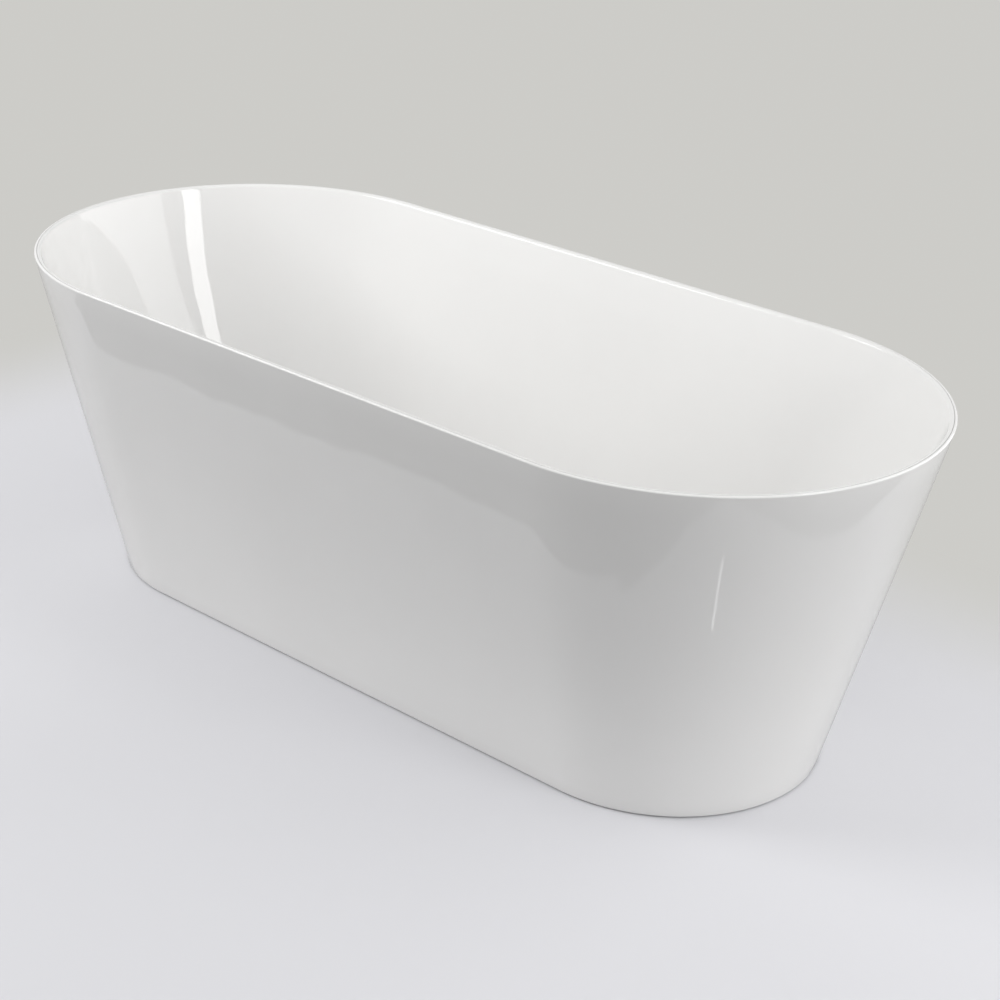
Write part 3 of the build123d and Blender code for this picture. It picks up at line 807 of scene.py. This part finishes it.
# %% Studs
NUT_COLUMNS = 72
STUD_COLUMNS = 48
STUD_RADIUS = 5.5 * MM
STUD_ROOT = 4.7 * MM
STUD_PITCH = 1.75 * MM
STUD_CHAMFER = 1 * MM
STUD_FLATS = 17 * MM
STUD_HEX_BOTTOM, STUD_HEX_TOP = 18 * MM, 26 * MM
NUT_FLATS = 19 * MM
NUT_BORE = STUD_RADIUS + THREAD_PLAY
FOOT_NUMBERS = range(1, 5)

stud_low, stud_high = levels_of("foot_stud_1")
stud_thread = threaded(STUD_HEX_TOP, stud_high, STUD_ROOT, STUD_RADIUS, STUD_PITCH, STUD_COLUMNS)
past_chamfer = np.maximum(0, stud_thread[..., 1] - (stud_high - STUD_CHAMFER))
stud_thread[..., 0] = np.minimum(stud_thread[..., 0], STUD_RADIUS - past_chamfer)
stud_ease = STUD_CHAMFER / 2
stud_foot = [
    (0, stud_low), (STUD_RADIUS - stud_ease, stud_low), (STUD_RADIUS, stud_low + stud_ease),
    (STUD_RADIUS, STUD_HEX_BOTTOM),
]
stud_sheet = np.concatenate([
    rings(stud_foot, STUD_COLUMNS),
    prism(HEXAGON, STUD_FLATS, STUD_HEX_BOTTOM, STUD_HEX_TOP, STUD_COLUMNS),
    stud_thread,
    rings([(STUD_RADIUS - STUD_CHAMFER, stud_high), (0, stud_high)], STUD_COLUMNS),
])
feet = [middle_of(f"foot_pad_{number}") for number in FOOT_NUMBERS]
for number, foot in zip(FOOT_NUMBERS, feet):
    make_piece(
        f"levelling_stud_{number}", [turned(stud_sheet, foot)], f"stud_{number}",
        [zinc_steel], [f"foot_stud_{number}"], loop=False,
    )

# %% Nuts of the feet
for name, node in (("weld_nuts", "foot_weld_nuts"), ("lock_nuts", "foot_lock_nuts")):
    nut_low, nut_high = levels_of(node)
    sheet = nut(HEXAGON, NUT_FLATS, NUT_BORE, nut_low, nut_high, NUT_COLUMNS)
    make_piece(name, [turned(sheet, foot) for foot in feet], "tub", [zinc_steel], [node])

# %% Pads
PAD_COLUMNS = 96
PAD_RIBS = 12
PAD_RADIUS = 25 * MM
PAD_EDGE = 6 * MM
PAD_HUB = 13 * MM
PAD_HEIGHT = 14 * MM
PAD_ROUND = 1 * MM
PAD_HOLLOW = 0.8 * MM
HOLLOW_RADIUS = 15 * MM
HOLLOW_MOUTH = 16.5 * MM
PAD_CONE_ROWS = 11
RIB_CREST = 0.9
RIB_DEPTH = 1.6 * MM
SOCKET_FLOOR = 7.7 * MM

cone_share = np.linspace(0, 1, PAD_CONE_ROWS)
pad_cone = rings(np.stack([
    PAD_RADIUS - PAD_ROUND + (PAD_HUB - PAD_RADIUS) * cone_share,
    PAD_EDGE + (PAD_HEIGHT - PAD_EDGE) * cone_share,
], axis=-1), PAD_COLUMNS)
between_ribs = np.clip(RIB_CREST - np.cos(PAD_RIBS * circle(PAD_COLUMNS)), 0, 1)
pad_cone[..., 1] -= RIB_DEPTH * np.outer(np.sin(math.pi * cone_share) ** 0.5, between_ribs)
pad_foot = np.concatenate([
    [(0, PAD_HOLLOW), (HOLLOW_RADIUS, PAD_HOLLOW), (HOLLOW_MOUTH, 0)],
    arc((PAD_RADIUS - PAD_ROUND, PAD_ROUND), PAD_ROUND, -90, 0, 5),
    arc((PAD_RADIUS - PAD_ROUND, PAD_EDGE - PAD_ROUND), PAD_ROUND, 0, 90, 5)[:-1],
])
pad_hub = [
    (PAD_HUB - 2 * PAD_ROUND, PAD_HEIGHT),
    (NUT_BORE + PAD_ROUND / 2, PAD_HEIGHT),
    (NUT_BORE, PAD_HEIGHT - PAD_ROUND / 2),
    (NUT_BORE, SOCKET_FLOOR),
    (0, SOCKET_FLOOR),
]
pad_sheet = np.concatenate([rings(pad_foot, PAD_COLUMNS), pad_cone, rings(pad_hub, PAD_COLUMNS)])
for number, foot in zip(FOOT_NUMBERS, feet):
    make_piece(
        f"levelling_pad_{number}", [turned(pad_sheet, foot)], f"foot_{number}",
        [black_plastic], [f"foot_pad_{number}"], loop=False,
    )

# %% [markdown]
# ## Cradle details
# The rails stand on the crossbars and are welded there; screws hold the board to the rails, and
# lumps of adhesive fix the bar ends to the skirt. A weld is a row of frozen puddles, so its bead
# is a corner fillet whose size swells and shrinks along the seam.

# %% Welds
TUBE = 30 * MM
BEAD_LEG = 4.5 * MM
RING_LEG = 3 * MM
BEAD_REACH = 12 * MM
BEAD_ROOT = 0.6
PUDDLE_STEP = 2.2 * MM
PUDDLE_HUMP = 0.1
DRIFT_STEP = 1.7 * PUDDLE_STEP
DRIFT = 0.04
BEAD_ROWS = 60
BEAD_COLUMNS = 12
RING_COLUMNS = 144

weld_metal, tree, shader = finish("weld_metal", Metallic=1.0)
heat = noise(tree, object_coordinates(tree), 160.0, detail=3.0)
wire(
    tree, shader,
    Base_Color=ramp(
        tree, heat, (0.32, (0.20, 0.19, 0.20)), (0.5, (0.36, 0.33, 0.28)), (0.68, (0.48, 0.47, 0.46))
    ),
    Roughness=use_group(tree, handling_marks, Scale=200.0, Least=0.35, Most=0.6)["Gloss Loss"],
)
relief(tree, shader, heat, 0.0004)


def puddles(distance):
    """Size of a bead along its seam: a row of humps with a slow drift."""
    hump = np.abs(np.sin(math.pi * distance / PUDDLE_STEP))
    return 1 - PUDDLE_HUMP * (1 - hump) - DRIFT * (1 - np.sin(distance / DRIFT_STEP))


def corner_section(leg):
    """Outline (out, up) of a fillet in a corner: a bulging arc between two walls and a root behind."""
    bulge = arc((0, 0), leg, 0, 90, BEAD_COLUMNS - 1)
    return np.concatenate([bulge, [(-BEAD_ROOT * leg, 0)]])


rail_edge = TUBE / 2
bar_bottom, bar_top = levels_of("frame_crossbar_1")
along = np.linspace(-BEAD_REACH, BEAD_REACH, BEAD_ROWS)
swell = puddles(along) * np.sqrt(1 - (along / BEAD_REACH) ** 8)
straight_bead = swell[:, None, None] * corner_section(BEAD_LEG)
beads = []
for bar in CROSSBARS:
    for rail in ("frame_rail_front", "frame_rail_back"):
        for side in (-1, 1):
            beads.append(np.stack([
                np.broadcast_to(middle_of(bar)[0] + along[:, None], straight_bead.shape[:2]),
                middle_of(rail)[1] + side * (rail_edge + straight_bead[..., 0]),
                bar_top + straight_bead[..., 1],
            ], axis=-1))
make_piece("frame_welds", beads, "tub", [weld_metal], loop=False)

ring_swell = puddles(circle(RING_COLUMNS) * NUT_FLATS / 2)
ring_bead = ring_swell[None, :, None] * corner_section(RING_LEG)[:, None, :] * (1, -1)
ring_bead += (NUT_FLATS / 2, bar_bottom)
make_piece("nut_welds", [turned(ring_bead, foot) for foot in feet], "tub", [weld_metal])

# %% Cradle screws
SCREW_X = (-330 * MM, -80 * MM, 80 * MM, 330 * MM)
SCREW_COLUMNS = 48
SCREW_RADIUS = 2.2 * MM
SCREW_ROOT = 1.6 * MM
SCREW_PITCH = 2 * MM
SCREW_POINT = 4 * MM
HEAD_RADIUS = 4.5 * MM
HEAD_HEIGHT = 3 * MM
HEAD_FACE_ROWS = 16
HEAD_FACE = 0.78
HEAD_CROWN = 0.25
HEAD_SHOULDER = 0.6
RECESS_REACH = 2.3 * MM
RECESS_HALF_WIDTH = 0.5 * MM
RECESS_DEPTH = 1.5 * MM
RECESS_TAPER = 0.5

screw_low, screw_high = levels_of("frame_screws")
head_out = np.linspace(0, HEAD_FACE, HEAD_FACE_ROWS)
head_face = rings(np.stack([
    HEAD_RADIUS * head_out, screw_low + HEAD_CROWN * HEAD_HEIGHT * head_out**4,
], axis=-1), SCREW_COLUMNS)
face_radius = head_face[..., 0]
turn_angle = circle(SCREW_COLUMNS)
off_wing = np.minimum(np.abs(face_radius * np.cos(turn_angle)), np.abs(face_radius * np.sin(turn_angle)))
in_cross = (off_wing < RECESS_HALF_WIDTH) & (face_radius < RECESS_REACH)
head_face[..., 1] += RECESS_DEPTH * in_cross * (1 - RECESS_TAPER * face_radius / RECESS_REACH)
shank = threaded(screw_low + HEAD_HEIGHT, screw_high, SCREW_ROOT, SCREW_RADIUS, SCREW_PITCH, SCREW_COLUMNS)
shank[..., 0] *= np.clip((screw_high - shank[..., 1]) / SCREW_POINT, 0, 1)
head_side = [(HEAD_RADIUS, screw_low + share * HEAD_HEIGHT) for share in (HEAD_SHOULDER, 1)]
screw_sheet = np.concatenate([
    head_face,
    rings(head_side, SCREW_COLUMNS),
    shank,
    rings([(0, screw_high)], SCREW_COLUMNS),
])
screw_spots = [(x, middle_of(rail)[1]) for x in SCREW_X for rail in ("frame_rail_front", "frame_rail_back")]
make_piece(
    "cradle_screws", [turned(screw_sheet, spot) for spot in screw_spots], "tub", [zinc_steel],
    ["frame_screws"], loop=False,
)

# %% Adhesive lumps
LUMP_HALF_WIDTH = 20 * MM
LUMP_COLUMNS = 48
LUMP_ROWS = 12
LUMP_WAIST = 0.2
LUMP_RIPPLE = 0.05
LUMP_CORNERS = 0.5
LUMP_WAVES = (
    # waves round the lump, and their shift for a metre along the tub and for the side
    (3, 40, 1),
    (7, -25, 0),
)

lump_angle = circle(LUMP_COLUMNS)
lump_across, lump_up = box_section(LUMP_HALF_WIDTH, TUBE / 2, LUMP_COLUMNS, LUMP_CORNERS)
lump_share = np.linspace(0, 1, LUMP_ROWS)


def lump(bar, side):
    """Paste pressed between a bar's end and the skirt: a rounded box drawn in at its middle."""
    x, _ = middle_of(bar)
    bar_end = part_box(bar)[1].y
    ripple = [np.sin(waves * lump_angle + by_x * x + by_side * side) for waves, by_x, by_side in LUMP_WAVES]
    waist = LUMP_WAIST * np.sin(math.pi * lump_share)[:, None]
    size = 1 - waist - LUMP_RIPPLE * (1 + np.mean(ripple, axis=0))
    size = np.concatenate([np.zeros((1, LUMP_COLUMNS)), size, np.zeros((1, LUMP_COLUMNS))])
    share = np.concatenate([[0], lump_share, [1]])[:, None]
    z = bar_bottom + TUBE / 2 + size * lump_up
    skirt_face = skirt_level(z)[1] - SKIRT_WALL
    y = side * (bar_end + share * (skirt_face - bar_end))
    return np.stack([x + size * lump_across, y, z], axis=-1)


lumps = [lump(bar, side) for bar in CROSSBARS for side in (-1, 1)]
make_piece("bond_lumps", lumps, "tub", [adhesive], ["skirt_bond_pads"], loop=False)

# %% [markdown]
# ## Waste and plug
# In the middle of the floor a chrome flange sits flush in a shallow recess, and a domed plug
# covers its mouth. Pressing the plug works a latch below, held by a three-armed spider in the
# tail. All of them are turned parts, so each is a profile carried round the middle axis.

# %% Waste fitting
WASTE_COLUMNS = 96
FLANGE_RADIUS = 39 * MM
FLANGE_THICKNESS = 3 * MM
FLANGE_EDGE = 1.5 * MM
DISH_RADIUS = 34 * MM
DISH_DEPTH = 2.4 * MM
TAIL_RADIUS, TAIL_ROOT = 23.9 * MM, 22.9 * MM
TAIL_PITCH = 2.309 * MM
TAIL_BORE = 21 * MM
TAIL_CHAMFER = 0.3 * MM
TAIL_LEAD = 0.4 * MM
SPIDER_BOTTOM, SPIDER_TOP = 118 * MM, 126 * MM
HUB_BORE, HUB_RADIUS = 8 * MM, 12 * MM
DISH_ROWS = 12
ARM_COLUMNS = 24
ARM_CORNERS = 0.35
ARM_HALF_WIDTH = 1.5 * MM
ARM_REACH = (9 * MM, 22 * MM)
ARM_TURNS = (0, 2 * math.pi / 3, 4 * math.pi / 3)

tail_bottom, flange_top = levels_of("waste_body")
flange_bottom = flange_top - FLANGE_THICKNESS
dish_share = np.linspace(0, 1, DISH_ROWS)
dish = np.stack([
    DISH_RADIUS + (TAIL_BORE - DISH_RADIUS) * dish_share,
    flange_top - DISH_DEPTH * (3 * dish_share**2 - 2 * dish_share**3),
], axis=-1)
flange_rim = arc((FLANGE_RADIUS - FLANGE_EDGE, flange_top - FLANGE_EDGE), FLANGE_EDGE, 0, 90, 7)
waste_top = [(TAIL_RADIUS, flange_bottom), (FLANGE_RADIUS, flange_bottom), *flange_rim, *dish]
waste_tail = [
    (TAIL_BORE, tail_bottom + MM), (TAIL_BORE + MM, tail_bottom), (TAIL_ROOT - TAIL_CHAMFER, tail_bottom),
]
waste_sheet = np.concatenate([
    rings(waste_top, WASTE_COLUMNS),
    rings(waste_tail, WASTE_COLUMNS),
    threaded(
        tail_bottom + TAIL_LEAD, flange_bottom - MM, TAIL_ROOT, TAIL_RADIUS, TAIL_PITCH, WASTE_COLUMNS
    ),
])
hub_ease = 0.5 * MM
hub = [
    (HUB_BORE, SPIDER_BOTTOM), (HUB_RADIUS - hub_ease, SPIDER_BOTTOM),
    (HUB_RADIUS, SPIDER_BOTTOM + hub_ease), (HUB_RADIUS, SPIDER_TOP - hub_ease),
    (HUB_RADIUS - hub_ease, SPIDER_TOP), (HUB_BORE, SPIDER_TOP),
]


def spider_arm(angle):
    """A flat arm from the hub to the tail: a rounded box section carried out along one direction."""
    half_height = (SPIDER_TOP - SPIDER_BOTTOM) / 2 - hub_ease
    across, up = box_section(ARM_HALF_WIDTH, half_height, ARM_COLUMNS, ARM_CORNERS)
    reach = np.array([ARM_REACH[0], *ARM_REACH, ARM_REACH[1]])[:, None]
    size = np.array([0, 1, 1, 0])[:, None]
    x = reach * math.cos(angle) - size * across * math.sin(angle)
    y = reach * math.sin(angle) + size * across * math.cos(angle)
    return np.stack([x, y, (SPIDER_TOP + SPIDER_BOTTOM) / 2 + size * up], axis=-1)


make_piece(
    "waste_fitting", [turned(waste_sheet), turned(rings(hub, WASTE_COLUMNS))], "tub", [chrome],
    ["waste_body"],
)
arms = [spider_arm(angle) for angle in ARM_TURNS]
make_piece("waste_spider_arms", arms, "tub", [chrome], loop=False)

# %% Plug
PLUG_RADIUS = 31 * MM
PLUG_RIM = 1.8 * MM
PLUG_EDGE = 0.7 * MM
CROWN_ROWS = 20
BOSS_OUTER, BOSS_BORE = 6 * MM, 4 * MM

boss_low, crown_high = levels_of("plug_cap")
_, plug_bottom = levels_of("plug_stem")
crown_out = np.linspace(0, 1, CROWN_ROWS)
crown_drop = crown_high - plug_bottom - PLUG_RIM
crown = np.stack([(PLUG_RADIUS - PLUG_EDGE) * crown_out, crown_high - crown_drop * crown_out**2], axis=-1)
plug_profile = np.concatenate([
    crown,
    arc((PLUG_RADIUS - PLUG_EDGE, plug_bottom + PLUG_RIM - PLUG_EDGE), PLUG_EDGE, 80, 0, 5),
    arc((PLUG_RADIUS - PLUG_EDGE, plug_bottom + PLUG_EDGE), PLUG_EDGE, 0, -90, 5),
    arc((BOSS_OUTER + PLUG_EDGE, plug_bottom - PLUG_EDGE), PLUG_EDGE, 90, 180, 4),
    [(BOSS_OUTER, boss_low), (BOSS_BORE, boss_low), (BOSS_BORE, plug_bottom), (0, plug_bottom)],
])
plug_points = turned(rings(plug_profile, WASTE_COLUMNS))
make_piece("plug_dome", [plug_points], "plug", [chrome], ["plug_cap"], loop=False)

# %% Nuts of the waste
LOCKNUT_SIDES, PIPE_NUT_SIDES = 8, 10
LOCKNUT_RADIUS, PIPE_NUT_RADIUS = 35 * MM, 30 * MM
PLASTIC_NUT_COLUMNS = 160
PIPE_NUT_LIP = 4 * MM
LIP_BORE = 20.7 * MM
TAIL_NUT_BORE = TAIL_RADIUS + THREAD_PLAY

locknut_low, locknut_high = levels_of("waste_locknut")
locknut_flats = 2 * LOCKNUT_RADIUS * math.cos(math.pi / LOCKNUT_SIDES)
locknut = nut(LOCKNUT_SIDES, locknut_flats, TAIL_NUT_BORE, locknut_low, locknut_high, PLASTIC_NUT_COLUMNS)
make_piece("clamp_nut", [turned(locknut)], "tub", [white_pvc], ["waste_locknut"])

pipe_nut_low, pipe_nut_high = levels_of("tailpiece_nut")
pipe_nut_flats = 2 * PIPE_NUT_RADIUS * math.cos(math.pi / PIPE_NUT_SIDES)
lip_top = pipe_nut_low + PIPE_NUT_LIP
pipe_nut = np.concatenate([
    prism(PIPE_NUT_SIDES, pipe_nut_flats, pipe_nut_low, pipe_nut_high, PLASTIC_NUT_COLUMNS),
    rings([
        (TAIL_NUT_BORE + MM, pipe_nut_high), (TAIL_NUT_BORE, pipe_nut_high - MM), (TAIL_NUT_BORE, lip_top),
        (LIP_BORE, lip_top), (LIP_BORE, pipe_nut_low + MM), (LIP_BORE + MM, pipe_nut_low),
    ], PLASTIC_NUT_COLUMNS),
])
make_piece("slip_nut", [turned(pipe_nut)], "tub", [white_pvc], ["tailpiece_nut"])

# %% Latch spring
SPRING_RADIUS = 4.7 * MM
SPRING_WIRE = 0.45 * MM
SPRING_TURNS = 4
SPRING_ROWS_PER_TURN = 40
SPRING_COLUMNS = 10

spring_low, spring_high = levels_of("plug_spring")
coil_angle = np.linspace(0, 2 * math.pi * SPRING_TURNS, SPRING_TURNS * SPRING_ROWS_PER_TURN)[:, None]
coil_rise = spring_high - spring_low - 2 * SPRING_WIRE
coil_z = spring_low + SPRING_WIRE + coil_rise * coil_angle / coil_angle[-1]
section = circle(SPRING_COLUMNS)
wire_size = np.full_like(coil_angle, SPRING_WIRE)
wire_size[[0, -1]] = 0
coil_radius = SPRING_RADIUS + wire_size * np.cos(section)
coil = np.stack([
    coil_radius * np.cos(coil_angle), coil_radius * np.sin(coil_angle), coil_z + wire_size * np.sin(section)
], axis=-1)
stretch = ("tub", "plug", (0, 0, spring_low), (0, 0, spring_high))
make_piece("latch_spring", [coil], stretch, [zinc_steel], ["plug_spring"], loop=False)

# %% [markdown]
# ## Floor, backdrop and light
# The tub stands on a plain pale floor. Near the tub the floor is an ordinary dull surface that
# takes shadows. Further out, and sooner behind the tub and on its left, it fades into one even
# tone for the camera and for reflections only, so the background is pale without lighting the tub.
#
# A white gloss shows its shape by what it reflects. The skirt leans outwards, so it mirrors the
# floor close by. In front of the tub and past its right end the studio floor is dark, which puts
# a darker band under the rim, and all the floor is a little darker than it looks, so that less
# light comes up from it. The camera itself sees a pale floor. A short bright line on the floor,
# also hidden from the camera, leaves the thin glint on the turn of the right end.

# %% Floor
FLOOR_HALF_SIZE = 30.0
FLOOR_COLOUR = (0.69, 0.69, 0.715)
DARK_COLOUR = (0.02, 0.02, 0.02)
BACKDROP_COLOUR = (0.61, 0.605, 0.58)
FADE_AROUND = (1.0, 3.4)
FADE_BEHIND = (0.4, 0.9)
FADE_LEFT = (1.2, 1.7)
FLOOR_PATCHES = 0.8
FLOOR_DRIFT = 0.015
DARK_FLOOR = (
    # least x, least y, most x, most y
    (-1.45, -2.6, 2.8, -0.68),
    (0.59, -2.6, 2.8, -0.64),
    (1.25, -2.6, 2.8, 1.6),
)
DARK_EDGE = 0.004
NEAR_SHADE = 0.28


def eased(tree, value, start, end):
    """0 below start, 1 above end, and a smooth S between."""
    return map_range(tree, value, (start, end), curve="SMOOTHSTEP")


def most_of(tree, values):
    """The greatest of several values."""
    most = 0.0
    for value in values:
        most = math_node(tree, "MAXIMUM", most, value)
    return most


def within(tree, spot, x0, y0, x1, y1):
    """1 inside a rectangle on the floor, 0 outside: the least distance to its sides, over an edge."""
    inset = None
    for axis, low, high in (("X", x0, x1), ("Y", y0, y1)):
        for distance in (
            math_node(tree, "SUBTRACT", spot[axis], low), math_node(tree, "SUBTRACT", high, spot[axis])
        ):
            inset = distance if inset is None else math_node(tree, "MINIMUM", inset, distance)
    return eased(tree, inset, 0.0, DARK_EDGE)


floor_finish, tree, shader = finish("pale_floor", IOR=1.4, Specular_IOR_Level=0.2, Roughness=0.65)
place = object_coordinates(tree)
patches = noise(tree, place, FLOOR_PATCHES)
tints = [tuple(c * shade for c in FLOOR_COLOUR) for shade in (1 - FLOOR_DRIFT, 1 + FLOOR_DRIFT)]
wire(tree, shader, Base_Color=two_tone(tree, patches, *tints))
rays = add_node(tree, "ShaderNodeLightPath").outputs
seen = most_of(tree, [rays[f"Is {kind} Ray"] for kind in ("Camera", "Glossy", "Transmission")])
spot = add_node(tree, "ShaderNodeSeparateXYZ", Vector=place).outputs
away = add_node(tree, "ShaderNodeVectorMath", {"operation": "LENGTH"}, Vector=place).outputs["Value"]
fade = most_of(tree, [
    eased(tree, away, *FADE_AROUND),
    eased(tree, spot["Y"], *FADE_BEHIND),
    eased(tree, math_node(tree, "MULTIPLY", spot["X"], -1.0), *FADE_LEFT),
])
even = add_node(tree, "ShaderNodeEmission", Color=(*BACKDROP_COLOUR, 1), Strength=1.0)
pale = add_node(tree, "ShaderNodeMixShader", Fac=math_node(tree, "MULTIPLY", seen, fade))
tree.links.new(shader.outputs["BSDF"], pale.inputs[1])
tree.links.new(even.outputs["Emission"], pale.inputs[2])
shaded = most_of(tree, [NEAR_SHADE] + [within(tree, spot, *sides) for sides in DARK_FLOOR])
shaded = math_node(tree, "MULTIPLY", shaded, math_node(tree, "SUBTRACT", 1.0, rays["Is Camera Ray"]))
dark = add_node(tree, "ShaderNodeBsdfDiffuse", Color=(*DARK_COLOUR, 1))
whole = add_node(tree, "ShaderNodeMixShader", Fac=shaded)
tree.links.new(pale.outputs["Shader"], whole.inputs[1])
tree.links.new(dark.outputs["BSDF"], whole.inputs[2])
tree.links.new(whole.outputs["Shader"], tree.nodes["Material Output"].inputs["Surface"])


def stage_sheet(name, corners, material):
    """One flat face with one material, linked into the scene and attached to no body."""
    mesh = bpy.data.meshes.new(name)
    mesh.from_pydata(corners, [], [range(len(corners))])
    mesh.materials.append(material)
    made = bpy.data.objects.new(name, mesh)
    bpy.context.scene.collection.objects.link(made)
    return made


unit_square = ((-1, -1), (1, -1), (1, 1), (-1, 1))
floor_corners = [(x * FLOOR_HALF_SIZE, y * FLOOR_HALF_SIZE, 0) for x, y in unit_square]
stage_sheet("pale_floor", floor_corners, floor_finish)
print("floor:", 2 * FLOOR_HALF_SIZE, "metres wide")

# %% Glint
GLINT_ENDS = ((1.04, -0.45), (0.92, -0.37))
GLINT_WIDTH = 12 * MM
GLINT_HEIGHT = 1 * MM
GLINT_GLOW = 3.0

glint_finish, tree, shader = finish("glint_line", Base_Color=(0, 0, 0, 1), Emission_Color=(1, 1, 1, 1))
underside = add_node(tree, "ShaderNodeNewGeometry").outputs["Backfacing"]
upper = math_node(tree, "SUBTRACT", 1.0, underside)
wire(tree, shader, Emission_Strength=math_node(tree, "MULTIPLY", upper, GLINT_GLOW))
glint_finish.cycles.emission_sampling = "FRONT"
start, end = (Vector((*spot, GLINT_HEIGHT)) for spot in GLINT_ENDS)
aside = (end - start).cross(Vector((0, 0, 1))).normalized() * GLINT_WIDTH / 2
glint = stage_sheet("glint_line", [start - aside, start + aside, end + aside, end - aside], glint_finish)
glint.visible_camera = False
glint.visible_diffuse = False
glint.visible_transmission = False
glint.visible_shadow = False

# %% World
ROOM_LIGHT = {
    # the way to look: how bright the room is there
    (0, 0, 1): 0.30,
    (-1, 0, 0): 0.68,
    (1, 0, 0): 0.58,
    (0, -1, 0): 0.68,
    (0, 1, 0): 0.40,
}

world = bpy.data.worlds.new("soft_room")
bpy.context.scene.world = world
world.use_nodes = True
tree = world.node_tree
looking = add_node(tree, "ShaderNodeTexCoord").outputs["Generated"]
glow = 0.0
for way, strength in ROOM_LIGHT.items():
    facing_it = add_node(tree, "ShaderNodeVectorMath", {"operation": "DOT_PRODUCT"})
    facing_it.inputs[1].default_value = way
    tree.links.new(looking, facing_it.inputs[0])
    share = math_node(tree, "MAXIMUM", facing_it.outputs["Value"], 0.0)
    glow = math_node(tree, "ADD", glow, math_node(tree, "MULTIPLY", share, strength))
fill = tree.nodes["Background"]
fill.inputs["Color"].default_value = (1, 1, 1, 1)
tree.links.new(glow, fill.inputs["Strength"])
backdrop = add_node(tree, "ShaderNodeBackground", Color=(*BACKDROP_COLOUR, 1), Strength=1.0)
rays = add_node(tree, "ShaderNodeLightPath").outputs
mixed = add_node(tree, "ShaderNodeMixShader", Fac=rays["Is Camera Ray"])
tree.links.new(fill.outputs["Background"], mixed.inputs[1])
tree.links.new(backdrop.outputs["Background"], mixed.inputs[2])
tree.links.new(mixed.outputs["Shader"], tree.nodes["World Output"].inputs["Surface"])

# %% [markdown]
# ## Soft boxes
# The room itself gives a soft light, least from above. One panel lights the long side, and a
# wide one behind and a small low one light the right end, so the turn that faces the camera stays
# darker. A tall strip past the right end, leaning a little, leaves the crisp streak on the inside
# of the left end.

# %% Soft boxes
TUB_MIDDLE = (0.0, 0.0, 0.35)
SOFT_BOXES = {
    # name: (place, the point it faces, width, height, watts, lean in degrees)
    "left_panel": ((-2.32, -2.09, 2.15), TUB_MIDDLE, 1.6, 1.6, 50, 0),
    "right_panel": ((2.15, 2.81, 1.46), (-0.55, 0.71, 0.35), 4.4, 2.4, 56, -10),
    "low_panel": ((3.2, -0.1, 0.75), TUB_MIDDLE, 1.0, 1.0, 7, 0),
    "strip": ((3.2, 0.05, 2.35), (0.0, 0.05, 2.35), 0.70, 2.1, 27, -13.9),
}


def soft_box(name, place, aim, width, height, watts, lean):
    """A rectangular lamp at a place, facing a point and leaning over to its own left by an angle."""
    lamp = bpy.data.lights.new(name, "AREA")
    lamp.shape = "RECTANGLE"
    lamp.size, lamp.size_y = width, height
    lamp.energy = watts
    made = bpy.data.objects.new(name, lamp)
    bpy.context.scene.collection.objects.link(made)
    made.location = place
    upright = (Vector(aim) - Vector(place)).to_track_quat("-Z", "Y").to_matrix()
    made.rotation_euler = (upright @ Matrix.Rotation(math.radians(lean), 3, "Z")).to_euler()


for name, values in SOFT_BOXES.items():
    soft_box(name, *values)
print("soft boxes:", list(SOFT_BOXES))

# %% [markdown]
# ## Colour view
# The render shows its colours through the Standard view transform. The finished look must stay
# inside the box of the imported parts.

# %% Finish
bpy.context.scene.view_settings.view_transform = "Standard"
